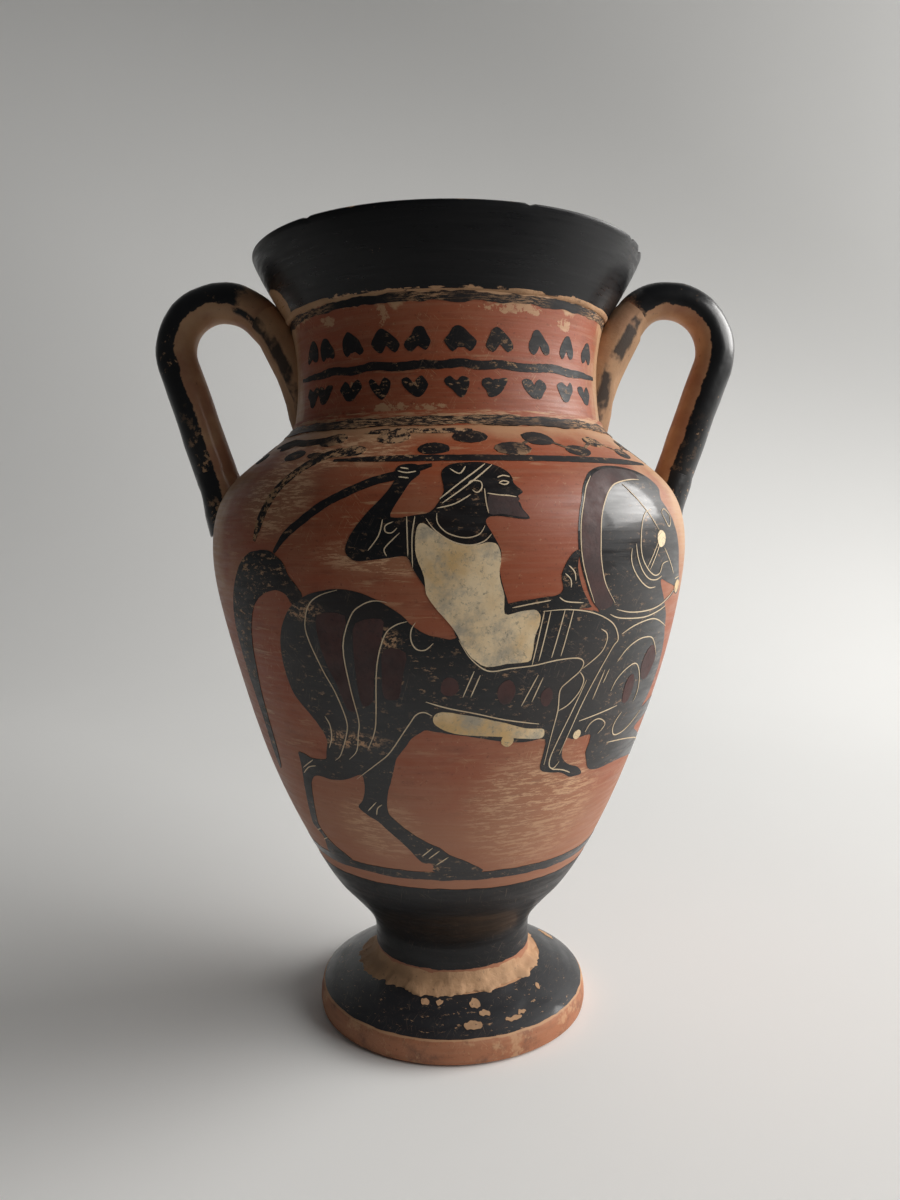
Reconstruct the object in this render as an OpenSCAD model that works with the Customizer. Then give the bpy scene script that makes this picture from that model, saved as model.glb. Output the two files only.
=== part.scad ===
// Neck amphora: a wheel-thrown storage jar with a disc foot, an ovoid body, a
// separate neck, a flaring lip and two handles. Every thrown or pulled piece is
// its own solid, and a fillet of luting clay closes each joint between them.
// Units are millimetres. +Z is up, the handles lie along X, and the origin is
// the centre of the foot's resting face.

/* [Foot] */
// Radius of the foot at the middle of its edge band
foot_r = 51.5; // [42:0.5:64]
// Height of the plain edge band round the foot
foot_edge_h = 9; // [5:0.5:13]
// Height of the foot's crown where it meets the stem
foot_crown_h = 17; // [14:0.5:24]
// Depth of the socket in the crown that the stem stands in
socket_depth = 3; // [1.5:0.5:5]
// Width of the ring that the foot rests on
rest_ring_w = 7.5; // [5:0.5:12]
// Height of the hollow under the foot
hollow_h = 6.5; // [3:0.5:9]

/* [Body] */
// Radius of the stem
stem_r = 29.7; // [22:0.5:38]
// Height of the straight stem, from the socket's floor
stem_h = 15; // [10:0.5:22]
// Height over which the stem flares into the body
flare_h = 18.5; // [12:0.5:26]
// How far the flare opens beyond the stem
flare_out = 11.3; // [7:0.5:16]
// Height from the flare to the widest part of the belly
swell_h = 129.5; // [100:0.5:160]
// Radius at the widest part of the belly
belly_r = 88; // [72:0.5:108]
// Height from the widest part to the neck's seat
shoulder_h = 40.5; // [33:0.5:50]
// Thickness of the thrown wall
wall = 5.5; // [4:0.5:7.5]
// Thickness of the floor above the start of the flare
floor_h = 8; // [5:0.5:12]

/* [Neck] */
// Radius of the neck where it stands on the shoulder
neck_base_r = 57; // [50:0.5:68]
// How much the neck narrows between its two ends
neck_waist = 1.6; // [0:0.1:4]
// Height of the neck
neck_h = 40; // [32:0.5:50]
// Thickness of the neck's wall at its waist
neck_wall = 5.7; // [4:0.1:8]

/* [Lip] */
// Height of the flaring lip
lip_h = 22.5; // [17:0.5:30]
// How far the lip flares beyond the top of the neck
lip_out = 12.3; // [8:0.5:16]
// How far the lip's lower edge overhangs the neck
lip_step = 2; // [1:0.1:3]
// Thickness of the lip at its flat top
lip_wall = 7; // [5:0.5:9]

/* [Handles] */
// Radius of the handle's round section at its top
handle_r = 7; // [5.5:0.1:8.5]
// How much thicker the handle is at its two roots than at its top
handle_swell = 0.4; // [0.2:0.1:1]
// Height of the handle's centre line above the neck's seat, at its top
handle_rise = 49.4; // [42:0.5:58]
// Distance of the handle's top beyond the neck's base radius
handle_reach = 25.4; // [22:0.2:30]
// Radius of the bend that comes up from the neck
inner_bend_r = 20; // [17:0.5:23]
// Radius of the bend that turns down to the shoulder
outer_bend_r = 17.8; // [15:0.2:20]
// Lean of the arm that runs into the neck, in degrees from upright
inner_lean = 44; // [36:1:52]
// Step of the shoulder's curve, counted from the belly, that the handle stands on
handle_step = 6; // [5:1:8]

/* [Luting clay] */
// How far the clay round a handle's leg stands out from the leg
root_clay = 2; // [1:0.1:3.5]
// Radius of the tail of clay that is drawn down the neck under a handle's arm
tail_r = 6.8; // [5:0.1:7]
// Height of the clay round the stem
stem_clay_h = 5.5; // [3:0.5:8]
// Steps of the shoulder's curve that the clay round the neck covers
neck_clay_steps = 1; // [1:1:3]

/* [Hidden] */
$fn = 96;
curve_steps = 16;   // straight steps that each bezier curve is drawn with
rounding = 1.2;     // size of the slope that blunts the lip's two top corners
lap = 1;            // how far the handle's pieces run into each other, in degrees
seat_z = foot_crown_h - socket_depth;
flare_z = seat_z + stem_h;
swell_z = flare_z + flare_h;
belly_z = swell_z + swell_h;
neck_z = belly_z + shoulder_h;
lip_z = neck_z + neck_h;
top_z = lip_z + lip_h;
neck_seat_r = neck_base_r + 1.2;   // the shoulder's last circle, just proud of the neck
neck_top_r = neck_base_r + 1.2;
bore_r = neck_base_r - neck_waist - neck_wall;
lip_base_r = neck_top_r + lip_step;
lip_top_r = neck_top_r + lip_out;
arm_r = handle_r + handle_swell / 2;    // the arm that runs into the neck
leg_r = handle_r + handle_swell;        // the leg that stands on the shoulder
handle_top = [neck_base_r + handle_reach, neck_z + handle_rise];
inner_centre = handle_top - [0, inner_bend_r];
outer_centre = handle_top - [0, outer_bend_r];
clay_red = [0.66, 0.31, 0.2];
clay_pale = [0.8, 0.62, 0.42];
slip_black = [0.11, 0.11, 0.12];

// A cubic bezier curve through a, pulled towards b and c, to d.
function bezier(a, b, c, d, steps = curve_steps) =
    [for (i = [0 : steps]) let (t = i / steps, s = 1 - t)
        s * s * s * a + 3 * s * s * t * b + 3 * s * t * t * c + t * t * t * d];
function part_of(list, first, last) = [for (i = [first : last]) list[i]];
function reversed(list) = [for (i = [len(list) - 1 : -1 : 0]) list[i]];
function unit(v) = v / norm(v);
// The curve moved to its left by a distance, which is inwards for one that runs upwards.
function inwards(list, distance) =
    [for (i = [0 : len(list) - 1])
        let (along = unit(list[min(i + 1, len(list) - 1)] - list[max(i - 1, 0)]))
        list[i] + distance * [-along[1], along[0]]];

// Outer curves, each from its lower end to its upper one, as [radius, height].
foot_edge = bezier([foot_r - 0.6, 0], [foot_r + 0.3, foot_edge_h * 0.35],
                   [foot_r + 0.2, foot_edge_h * 0.7], [foot_r - 0.9, foot_edge_h], 4);
foot_top = bezier([foot_r - 0.9, foot_edge_h],
                  [foot_r - 5, foot_edge_h + (foot_crown_h - foot_edge_h) * 0.4],
                  [stem_r + 9, foot_crown_h - 1.8], [stem_r, foot_crown_h]);
flare = bezier([stem_r, flare_z], [stem_r, flare_z + flare_h * 0.34],
               [stem_r + flare_out * 0.37, flare_z + flare_h * 0.57],
               [stem_r + flare_out, swell_z]);
belly = bezier([stem_r + flare_out, swell_z],
               [stem_r + flare_out + 17.7, swell_z + swell_h * 0.135],
               [belly_r, belly_z - swell_h * 0.22], [belly_r, belly_z]);
shoulder = bezier([belly_r, belly_z], [belly_r, belly_z + shoulder_h * 0.56],
                  [neck_seat_r + (belly_r - neck_seat_r) * 0.6, belly_z + shoulder_h * 0.6],
                  [neck_seat_r, neck_z]);
neck_side = bezier([neck_base_r, neck_z],
                   [neck_base_r - 1.5 * neck_waist, neck_z + neck_h * 0.29],
                   [neck_base_r - 1.5 * neck_waist, neck_z + neck_h * 0.66],
                   [neck_top_r, lip_z]);
lip_side = bezier([lip_base_r, lip_z], [lip_base_r + lip_out * 0.33, lip_z + lip_h * 0.31],
                  [lip_top_r - lip_out * 0.14, lip_z + lip_h * 0.62],
                  [lip_top_r, top_z - rounding]);
lip_inside = bezier([bore_r, lip_z], [bore_r + 2, lip_z + lip_h * 0.4],
                    [lip_top_r - lip_wall - 3, lip_z + lip_h * 0.66],
                    [lip_top_r - lip_wall, top_z - rounding]);

// Luting clay outlines: a hollow fillet in the corner between two pieces.
stem_clay_out = foot_top[curve_steps - 5];
neck_clay_out = shoulder[curve_steps - neck_clay_steps];
neck_clay_top = neck_side[2];
stem_clay = concat(part_of(foot_top, curve_steps - 5, curve_steps),
                   bezier([stem_r, foot_crown_h + stem_clay_h],
                          [stem_r + 1, foot_crown_h + stem_clay_h * 0.4],
                          [stem_r + 2.5, foot_crown_h + 1], stem_clay_out, 6));
neck_clay_face = bezier(neck_clay_out, 0.35 * neck_clay_out + 0.65 * [neck_seat_r, neck_z],
                        0.35 * neck_clay_top + 0.65 * [neck_base_r, neck_z], neck_clay_top, 6);
neck_clay = concat(part_of(shoulder, curve_steps - neck_clay_steps, curve_steps),
                   [neck_side[0]], part_of(neck_side, 1, 2),
                   part_of(reversed(neck_clay_face), 1, 5));
lip_clay = [neck_side[curve_steps - 1], [lip_base_r, lip_z - 0.9], [lip_base_r, lip_z],
            [neck_top_r, lip_z]];

// What the handles are pressed onto, from the widest part of the belly to the
// lip, as one filled shape. It is turned so that its seam lies clear of them.
core_outline = concat([[0, belly[curve_steps - 4][1]]], part_of(belly, curve_steps - 4, curve_steps),
                      part_of(shoulder, 1, curve_steps - neck_clay_steps),
                      part_of(neck_clay_face, 1, 6), part_of(neck_side, 3, curve_steps - 1),
                      [[lip_base_r, lip_z - 0.9]], lip_side, [[0, top_z - rounding]]);

module core() {
    rotate([0, 0, 90]) rotate_extrude() polygon(core_outline);
}

module foot() {
    rest_in_r = foot_r - 0.6 - rest_ring_w;
    hollow = bezier([0, hollow_h], [rest_in_r * 0.55, hollow_h], [rest_in_r - 4, hollow_h * 0.9],
                    [rest_in_r, 0], 10);
    color(clay_red) rotate_extrude()
        polygon(concat(hollow, foot_edge, part_of(foot_top, 1, curve_steps),
                       [[stem_r, seat_z], [0, seat_z]]));
}

module foot_luting() {
    color(clay_pale) rotate_extrude() polygon(stem_clay);
}

module body() {
    floor_z = flare_z + floor_h;
    thrown = concat(part_of(flare, 9, curve_steps - 1), belly,
                    part_of(shoulder, 1, curve_steps));
    inside = inwards(thrown, wall);
    cup = bezier([0, floor_z], [inside[0][0] * 0.6, floor_z],
                 inside[0] - 0.5 * (inside[1] - inside[0]) - [1, 0], inside[0], 8);
    color(clay_red) rotate_extrude()
        polygon(concat([[0, seat_z], [stem_r, seat_z]], flare, part_of(belly, 1, curve_steps),
                       part_of(shoulder, 1, curve_steps), [[bore_r, neck_z]],
                       reversed(inside), part_of(reversed(cup), 1, 8)));
}

module neck_luting() {
    color(clay_pale) rotate_extrude() polygon(neck_clay);
}

module neck() {
    color(clay_red) rotate_extrude()
        polygon(concat(neck_side, [[bore_r, lip_z], [bore_r, neck_z]]));
}

module lip_luting() {
    color(clay_pale) rotate_extrude() polygon(lip_clay);
}

module lip() {
    color(slip_black) rotate_extrude()
        polygon(concat(lip_side,
                       [[lip_top_r - rounding, top_z], [lip_top_r - lip_wall + rounding, top_z]],
                       reversed(lip_inside)));
}

// The leg is tangent to the outer bend and aims at a point of the shoulder.
leg_foot = shoulder[handle_step];
leg_aim = leg_foot - outer_centre;
outer_lean = -atan2(leg_aim[1], leg_aim[0]) - acos(outer_bend_r / norm(leg_aim));
arm_end = inner_centre + inner_bend_r * [-cos(inner_lean), sin(inner_lean)];
leg_end = outer_centre + outer_bend_r * [cos(outer_lean), -sin(outer_lean)];

// A bend of the handle in the XZ plane, between two angles from the +X direction.
module bend(centre, bend_r, radius, from, to) {
    translate([centre[0], 0, centre[1]]) rotate([90, 0, 0]) rotate([0, 0, from])
        rotate_extrude(angle = to - from) translate([bend_r, 0]) circle(r = radius);
}

// The handle's round bar on the +X side. Both of its ends run on inside the pot,
// and each piece of it laps a little over the thinner one before it.
module handle_bar() {
    bend(inner_centre, inner_bend_r, handle_r, 90, 180 - inner_lean);
    bend(outer_centre, outer_bend_r, handle_r + handle_swell / 4, -outer_lean, 90 + lap);
    translate([arm_end[0], 0, arm_end[1]]) rotate([0, 180 + inner_lean, 0])
        translate([0, 0, -lap / 4])
            cylinder(h = (arm_end[0] + handle_r - neck_base_r + 6) / sin(inner_lean), r = arm_r);
    translate([leg_end[0], 0, leg_end[1]]) rotate([0, 180 + outer_lean, 0])
        translate([0, 0, -lap / 4])
            cylinder(h = (leg_end[1] - belly_z) / cos(outer_lean), r = leg_r);
}

module handle() {
    difference() {
        handle_bar();
        core();
    }
}

// The tail of clay under the arm. It leans out of the neck's foot and ends in the arm.
module neck_root_clay() {
    foot_at = [neck_base_r - tail_r - 1, neck_z];
    head_at = arm_end - [sin(inner_lean), cos(inner_lean)] * inner_bend_r * 0.8;
    run = head_at - foot_at;
    difference() {
        translate([foot_at[0], 0, foot_at[1]]) rotate([0, atan2(run[0], run[1]), 0])
            cylinder(h = norm(run), r1 = tail_r + 0.8, r2 = tail_r);
        handle_bar();
        core();
    }
}

// Clay smeared round the leg where it stands on the shoulder.
module shoulder_root_clay() {
    low = leg_end - [sin(outer_lean), cos(outer_lean)] * (leg_end[1] - belly_z - 2) / cos(outer_lean);
    clay_h = (leg_foot[1] + leg_r * 1.2 - low[1]) / cos(outer_lean);
    difference() {
        translate([low[0], 0, low[1]]) rotate([0, outer_lean, 0])
            cylinder(h = clay_h, r1 = leg_r + root_clay + 1, r2 = leg_r + 0.4);
        handle_bar();
        core();
    }
}

module right_handle() { color(slip_black) handle(); }
module left_handle() { color(slip_black) mirror([1, 0, 0]) handle(); }
module right_neck_root_luting() { color(clay_pale) neck_root_clay(); }
module left_neck_root_luting() { color(clay_pale) mirror([1, 0, 0]) neck_root_clay(); }
module right_shoulder_root_luting() { color(clay_pale) shoulder_root_clay(); }
module left_shoulder_root_luting() { color(clay_pale) mirror([1, 0, 0]) shoulder_root_clay(); }

foot();
foot_luting();
body();
neck_luting();
neck();
lip_luting();
lip();
left_handle();
right_handle();
left_neck_root_luting();
left_shoulder_root_luting();
right_neck_root_luting();
right_shoulder_root_luting();
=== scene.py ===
import bisect
import math
import random

import bmesh
import bpy
from mathutils import Matrix, Vector, noise


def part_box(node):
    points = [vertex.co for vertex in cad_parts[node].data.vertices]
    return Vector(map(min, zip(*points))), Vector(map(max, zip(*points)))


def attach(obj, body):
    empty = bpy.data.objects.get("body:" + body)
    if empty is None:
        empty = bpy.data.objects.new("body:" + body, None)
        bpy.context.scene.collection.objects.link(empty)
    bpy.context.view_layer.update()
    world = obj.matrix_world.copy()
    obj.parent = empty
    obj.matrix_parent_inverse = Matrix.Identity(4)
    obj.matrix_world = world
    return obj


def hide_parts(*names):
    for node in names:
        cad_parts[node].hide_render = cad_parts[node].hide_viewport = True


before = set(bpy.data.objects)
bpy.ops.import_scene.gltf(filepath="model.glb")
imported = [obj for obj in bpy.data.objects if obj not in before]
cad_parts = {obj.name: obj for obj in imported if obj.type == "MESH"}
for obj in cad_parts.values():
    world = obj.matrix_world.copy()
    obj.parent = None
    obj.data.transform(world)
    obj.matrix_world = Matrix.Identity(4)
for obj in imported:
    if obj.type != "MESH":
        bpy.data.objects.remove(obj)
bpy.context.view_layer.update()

bl_info = {
    "name": "Painted Neck Amphora",
    "version": (1, 0, 0),
    "blender": (4, 5, 0),
    "location": "3D View > Sidebar > Amphora",
    "description": "Builds a black-figure neck amphora, its painted scene and a plain stage",
    "category": "Object",
}

# Outlines are [radius, height] in millimetres, and paint is [degrees, height], where
# degrees are counted round the jar from the middle of its front towards +X.
MM = 0.001
SEGMENTS = 256
NECK_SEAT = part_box("neck")[0].z / MM
LIP_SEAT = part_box("lip")[0].z / MM
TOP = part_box("lip")[1].z / MM
STEM_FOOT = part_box("body")[0].z / MM
NECK_MIDDLE = 52.2


# ---------------------------------------------------------------- settings


class AmphoraSizes(bpy.types.PropertyGroup):
    """Sizes of the fine work on the jar."""

    slip_thickness: bpy.props.FloatProperty(
        name="Slip thickness",
        description="How far the black slip stands above the clay",
        default=0.00011, min=0.00005, max=0.0004, unit="LENGTH", precision=5,
    )
    line_width: bpy.props.FloatProperty(
        name="Incised line width",
        description="Width of the lines scratched through the slip",
        default=0.00033, min=0.0002, max=0.0012, unit="LENGTH", precision=5,
    )
    handle_radius: bpy.props.FloatProperty(
        name="Handle radius",
        description="Radius of the handles' round section at their top",
        default=0.0069, min=0.005, max=0.009, unit="LENGTH", precision=4,
    )
    unevenness: bpy.props.FloatProperty(
        name="Unevenness",
        description="How far the thrown walls stray from a true circle",
        default=0.00035, min=0.0, max=0.001, unit="LENGTH", precision=5,
    )


class AmphoraColours(bpy.types.PropertyGroup):
    """Colours of the clays, slips and added paints."""

    red_clay: bpy.props.FloatVectorProperty(
        name="Red clay", description="Fired red-orange ground of the painted zones",
        subtype="COLOR", size=3, min=0, max=1, default=(0.35, 0.08, 0.029),
    )
    dusty_clay: bpy.props.FloatVectorProperty(
        name="Dusty clay", description="Rubbed and faded parts of the red ground",
        subtype="COLOR", size=3, min=0, max=1, default=(0.42, 0.20, 0.11),
    )
    tan_clay: bpy.props.FloatVectorProperty(
        name="Tan clay", description="Bare clay and luting clay where the slip has gone",
        subtype="COLOR", size=3, min=0, max=1, default=(0.56, 0.33, 0.18),
    )
    slip: bpy.props.FloatVectorProperty(
        name="Black slip", description="Glossy black of the figures, lip, foot and handles",
        subtype="COLOR", size=3, min=0, max=1, default=(0.007, 0.0074, 0.0088),
    )
    purple: bpy.props.FloatVectorProperty(
        name="Purple", description="Added purple-red on the mane, haunch and beard",
        subtype="COLOR", size=3, min=0, max=1, default=(0.085, 0.034, 0.03),
    )
    cream: bpy.props.FloatVectorProperty(
        name="Cream", description="Added cream white of the tunic and the harness",
        subtype="COLOR", size=3, min=0, max=1, default=(0.92, 0.72, 0.46),
    )
    line: bpy.props.FloatVectorProperty(
        name="Incised line", description="Pale clay seen in the scratched lines",
        subtype="COLOR", size=3, min=0, max=1, default=(0.82, 0.66, 0.45),
    )


class AmphoraStage(bpy.types.PropertyGroup):
    """The floor, light and camera round the jar."""

    floor_colour: bpy.props.FloatVectorProperty(
        name="Floor colour", description="Colour of the floor and backdrop",
        subtype="COLOR", size=3, min=0, max=1, default=(0.90, 0.90, 0.89),
    )
    window_power: bpy.props.FloatProperty(
        name="Window power", description="Power of the large soft light on the right",
        default=62.0, min=0.0, soft_max=160.0, unit="POWER",
    )
    sky_strength: bpy.props.FloatProperty(
        name="Room light", description="Strength of the even light of the room",
        default=0.05, min=0.0, soft_max=2.0,
    )
    lens: bpy.props.FloatProperty(
        name="Lens", description="Focal length of the camera, in millimetres",
        default=27.0, min=10.0, max=200.0, unit="CAMERA",
    )


# ---------------------------------------------------------------- outlines


def bezier(a, b, c, d, steps):
    """Points of a cubic curve from a to d, pulled towards b and c."""
    points = []
    for i in range(steps + 1):
        t = i / steps
        s = 1 - t
        weights = (s * s * s, 3 * s * s * t, 3 * s * t * t, t * t * t)
        points.append(tuple(
            sum(w * p[axis] for w, p in zip(weights, (a, b, c, d))) for axis in (0, 1)
        ))
    return points


WALL = 5.5
FLOOR_TOP = 37.0
NECK_BORE = 49.7
STEM = [(29.7, z) for z in (STEM_FOOT, 18, 22, 25.5)]
BODY_OUTSIDE = (
    STEM
    + bezier((29.7, 29), (29.7, 35.3), (33.9, 39.5), (41, 47.5), 10)
    + bezier((41, 47.5), (59.2, 65), (87, 146), (86.8, 176), 44)[1:]
    + bezier((86.8, 176), (86.7, 200), (75.8, 201.6), (58.2, NECK_SEAT), 26)[1:]
)
NECK_OUTSIDE = bezier((57, NECK_SEAT), (54.8, 229), (54.6, 244), (58.2, LIP_SEAT), 24)
LIP_OUTSIDE = bezier((58.6, LIP_SEAT - 0.3), (61.2, 262), (66.8, 270.5), (70.3, TOP - 0.9), 20)
FOOT_EDGE = [(49.9, 0), (51.1, 0.5), (51.5, 2.6), (51.4, 5.6), (50.9, 8.1), (50.2, 9)]
FOOT_TOP = bezier((50.2, 9), (46, 12.1), (39.5, 14.8), (34, 16.2), 12)


class Wall:
    """The outside of the jar as a radius for each height."""

    def __init__(self, *outlines):
        points = sorted({z: r for outline in outlines for r, z in outline}.items())
        self.heights = [z for z, r in points]
        self.radii = [r for z, r in points]

    def radius(self, height):
        """The wall's radius at a height, between the outline's points."""
        i = bisect.bisect_left(self.heights, height)
        i = min(max(i, 1), len(self.heights) - 1)
        low, high = self.heights[i - 1], self.heights[i]
        share = min(max((height - low) / (high - low), 0), 1)
        return self.radii[i - 1] + share * (self.radii[i] - self.radii[i - 1])

    def slope(self, height):
        """How fast the radius grows with height."""
        return (self.radius(height + 0.6) - self.radius(height - 0.6)) / 1.2

    def at(self, degrees, height, lift=0.0):
        """The point at an angle and a height, lifted off the wall along its normal."""
        slope = self.slope(height)
        length = math.hypot(1, slope)
        radius = self.radius(height) + stray(degrees, height) + lift / length
        height = height - lift * slope / length
        angle = math.radians(degrees)
        return Vector((math.sin(angle) * radius, -math.cos(angle) * radius, height)) * MM


def stray(degrees, height):
    """How far the potter's hand left the wall from a true circle, in millimetres."""
    angle = math.radians(degrees)
    where = Vector((math.cos(angle) * 1.2, math.sin(angle) * 1.2, height * 0.03))
    amount = bpy.context.scene.amphora_sizes.unevenness / MM
    return amount * 1.6 * noise.noise(where)


def degrees_of(point):
    """The angle of a point round the jar, from the middle of its front."""
    return math.degrees(math.atan2(point.x, -point.y))


BODY = Wall(BODY_OUTSIDE)
NECK = Wall(NECK_OUTSIDE)


# ---------------------------------------------------------------- mesh helpers


def finished(bm, name, material, replaces=(), sharp=35, lining=None):
    """Turns a bmesh into a piece that rides on the jar."""
    mesh = bpy.data.meshes.new(name)
    if lining:
        bm.normal_update()
        for face in bm.faces:
            facing = face.normal.xy.dot(face.calc_center_median().xy.normalized())
            face.material_index = 1 if facing < -0.02 else 0
    bm.to_mesh(mesh)
    bm.free()
    mesh.shade_smooth()
    mesh.set_sharp_from_angle(angle=math.radians(sharp))
    mesh.materials.append(material)
    if lining:
        mesh.materials.append(lining)
    piece = bpy.data.objects.new(name, mesh)
    bpy.context.scene.collection.objects.link(piece)
    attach(piece, "root")
    if replaces:
        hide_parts(*replaces)
    return piece


def turned(outline, hidden_from=None):
    """Spins an outline round the jar's axis and lays out a map of it."""
    bm = bmesh.new()
    way = bm.verts.layers.float.new("way")
    travelled = [0.0]
    for i in range(1, len(outline)):
        weight = 0.35 if hidden_from is not None and i > hidden_from else 1.0
        travelled.append(travelled[-1] + weight * math.dist(outline[i - 1], outline[i]))
    closing = 0.35 * math.dist(outline[-1], outline[0])
    total = travelled[-1] + max(closing, 1e-6)
    verts = []
    for (radius, height), length in zip(outline, travelled):
        vert = bm.verts.new((0, radius * MM, height * MM))
        vert[way] = length / total
        verts.append(vert)
    edges = [bm.edges.new(pair) for pair in zip(verts, verts[1:])]
    edges.append(bm.edges.new((verts[-1], verts[0])))
    bmesh.ops.spin(
        bm, geom=verts + edges, cent=(0, 0, 0), axis=(0, 0, 1), angle=2 * math.pi,
        steps=SEGMENTS, use_merge=True, use_duplicate=False,
    )
    bmesh.ops.remove_doubles(bm, verts=bm.verts, dist=1e-6)
    bmesh.ops.recalc_face_normals(bm, faces=bm.faces)
    lay_map(bm, way)
    return bm


def lay_map(bm, way):
    """Unrolls a turned piece onto the map that carries its finish."""
    layer = bm.loops.layers.uv.new("OFBake")
    for face in bm.faces:
        middle = degrees_of(face.calc_center_median())
        ways = [loop.vert[way] for loop in face.loops]
        for loop, along in zip(face.loops, ways):
            if along < max(ways) - 0.5:
                along = 1.0
            turn = degrees_of(loop.vert.co) if loop.vert.co.xy.length > 1e-6 else middle
            turn += 360 * round((middle - turn) / 360)
            loop[layer].uv = (min(max(turn / 360 + 0.5, 0), 1), along)


def uneven(bm):
    """Moves a turned piece's points in and out with the potter's unevenness."""
    for vert in bm.verts:
        across = vert.co.xy
        if across.length > 1e-4:
            shift = stray(degrees_of(vert.co), vert.co.z / MM) * MM
            vert.co.xy = across * (1 + shift / across.length)


def inwards(outline, distance):
    """The outline moved towards the jar's inside by a distance."""
    moved = []
    for i in range(len(outline)):
        a = outline[max(i - 1, 0)]
        b = outline[min(i + 1, len(outline) - 1)]
        along = Vector((b[0] - a[0], b[1] - a[1])).normalized()
        moved.append((outline[i][0] - along.y * distance, outline[i][1] + along.x * distance))
    return moved


def flowing(points, closed=True, steps=3):
    """A smooth line through points, as a loaded brush would draw it."""
    count = len(points)
    line = []
    for i in range(count if closed else count - 1):
        if closed:
            p = [Vector(points[(i + k) % count]) for k in (-1, 0, 1, 2)]
        else:
            p = [Vector(points[min(max(i + k, 0), count - 1)]) for k in (-1, 0, 1, 2)]
        for j in range(steps):
            t = j / steps
            line.append(0.5 * (
                2 * p[1] + (p[2] - p[0]) * t
                + (2 * p[0] - 5 * p[1] + 4 * p[2] - p[3]) * t * t
                + (3 * p[1] - p[0] - 3 * p[2] + p[3]) * t ** 3
            ))
    if not closed:
        line.append(Vector(points[-1]))
    return line


def stroke(points, width, wall, steps=4, ends=0.35):
    """The outline of a brush stroke of a width in millimetres along a smooth line."""
    line = flowing(points, closed=False, steps=steps)
    left, right = [], []
    for i, point in enumerate(line):
        per_degree = math.radians(wall.radius(point.y))
        a, b = line[max(i - 1, 0)], line[min(i + 1, len(line) - 1)]
        along = Vector(((b.x - a.x) * per_degree, b.y - a.y)).normalized()
        nearest_end = min(i, len(line) - 1 - i) / max(len(line) - 1, 1)
        half = width / 2 * (ends + (1 - ends) * min(nearest_end * 7, 1))
        half *= 1 + 0.18 * noise.noise(Vector((point.x * 0.9, point.y * 0.9, 4.2)))
        side = Vector((-along.y / per_degree, along.x)) * half
        left.append(point + side)
        right.append(point - side)
    return left + right[::-1]


def painted(name, outlines, wall, under, material, thick=None, cell=(3.0, 2.5), turn=0.0):
    """Lays closed outlines of [degrees, height] on the jar as one thin layer of paint."""
    thick = thick or bpy.context.scene.amphora_sizes.slip_thickness / MM
    bm = bmesh.new()
    for outline in outlines:
        loop = [bm.verts.new((p[0], p[1], 0)) for p in outline]
        edges = [bm.edges.new((loop[i - 1], loop[i])) for i in range(len(loop))]
        bmesh.ops.triangle_fill(bm, use_beauty=True, use_dissolve=False, edges=edges)
    for axis in (0, 1):
        spread = [v.co[axis] for v in bm.verts]
        place = math.ceil(min(spread) / cell[axis]) * cell[axis]
        while place < max(spread):
            normal = Vector((axis == 0, axis == 1, 0))
            bmesh.ops.bisect_plane(
                bm, geom=bm.verts[:] + bm.edges[:] + bm.faces[:], dist=1e-5,
                plane_co=normal * place, plane_no=normal,
            )
            place += cell[axis]
    raised = bmesh.ops.extrude_face_region(bm, geom=bm.faces[:], use_keep_orig=True)["geom"]
    tops = [item for item in raised if isinstance(item, bmesh.types.BMFace)]
    lifted = [item for item in raised if isinstance(item, bmesh.types.BMVert)]
    bmesh.ops.translate(bm, verts=lifted, vec=(0, 0, 1))
    bmesh.ops.recalc_face_normals(bm, faces=bm.faces)
    lay_flat_map(bm, set(tops))
    for vert in bm.verts:
        lift = under + thick if vert.co.z > 0.5 else under - 0.06
        vert.co = wall.at(vert.co.x + turn, vert.co.y, lift)
    return finished(bm, name, material, sharp=60)


def lay_flat_map(bm, tops):
    """Fills the map with a paint layer's face; its edges and back share a narrow strip."""
    low = Vector([min(v.co[k] for v in bm.verts) for k in (0, 1)])
    size = Vector([max(v.co[k] for v in bm.verts) for k in (0, 1)]) - low
    layer = bm.loops.layers.uv.new("OFBake")
    for face in bm.faces:
        for corner in face.loops:
            x = (corner.vert.co.x - low.x) / size.x
            y = (corner.vert.co.y - low.y) / size.y
            y = 0.03 + 0.97 * y if face in tops else 0.028 * y
            corner[layer].uv = (x, y)


def ring_layer(name, outline, thick, material, ragged=0.3):
    """A thin band of slip all the way round, with edges that a brush left ragged."""
    outer = inwards(outline, -thick)
    inner = inwards(outline, 0.08)[::-1]
    bm = turned(outer + inner, hidden_from=len(outer))
    for tip, before in ((outline[0], outline[1]), (outline[-1], outline[-2])):
        away = Vector((tip[0] - before[0], tip[1] - before[1])).normalized()
        for vert in bm.verts:
            place = Vector((vert.co.xy.length / MM - tip[0], vert.co.z / MM - tip[1]))
            if place.length < thick + 0.1:
                angle = math.radians(degrees_of(vert.co))
                seed = Vector((math.cos(angle) * 9, math.sin(angle) * 9, tip[1]))
                move = ragged * (noise.noise(seed) + 0.5 * noise.noise(seed * 3.1)) * MM
                flat = vert.co.xy.normalized() * away.x * move
                vert.co += Vector((flat.x, flat.y, away.y * move))
    uneven(bm)
    return finished(bm, name, material, sharp=60)


def band(outline, low, high):
    """The part of an outline between two heights."""
    inside = [p for p in outline if low < p[1] < high]
    wall = Wall(outline)
    return [(wall.radius(low), low)] + inside + [(wall.radius(high), high)]


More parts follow.
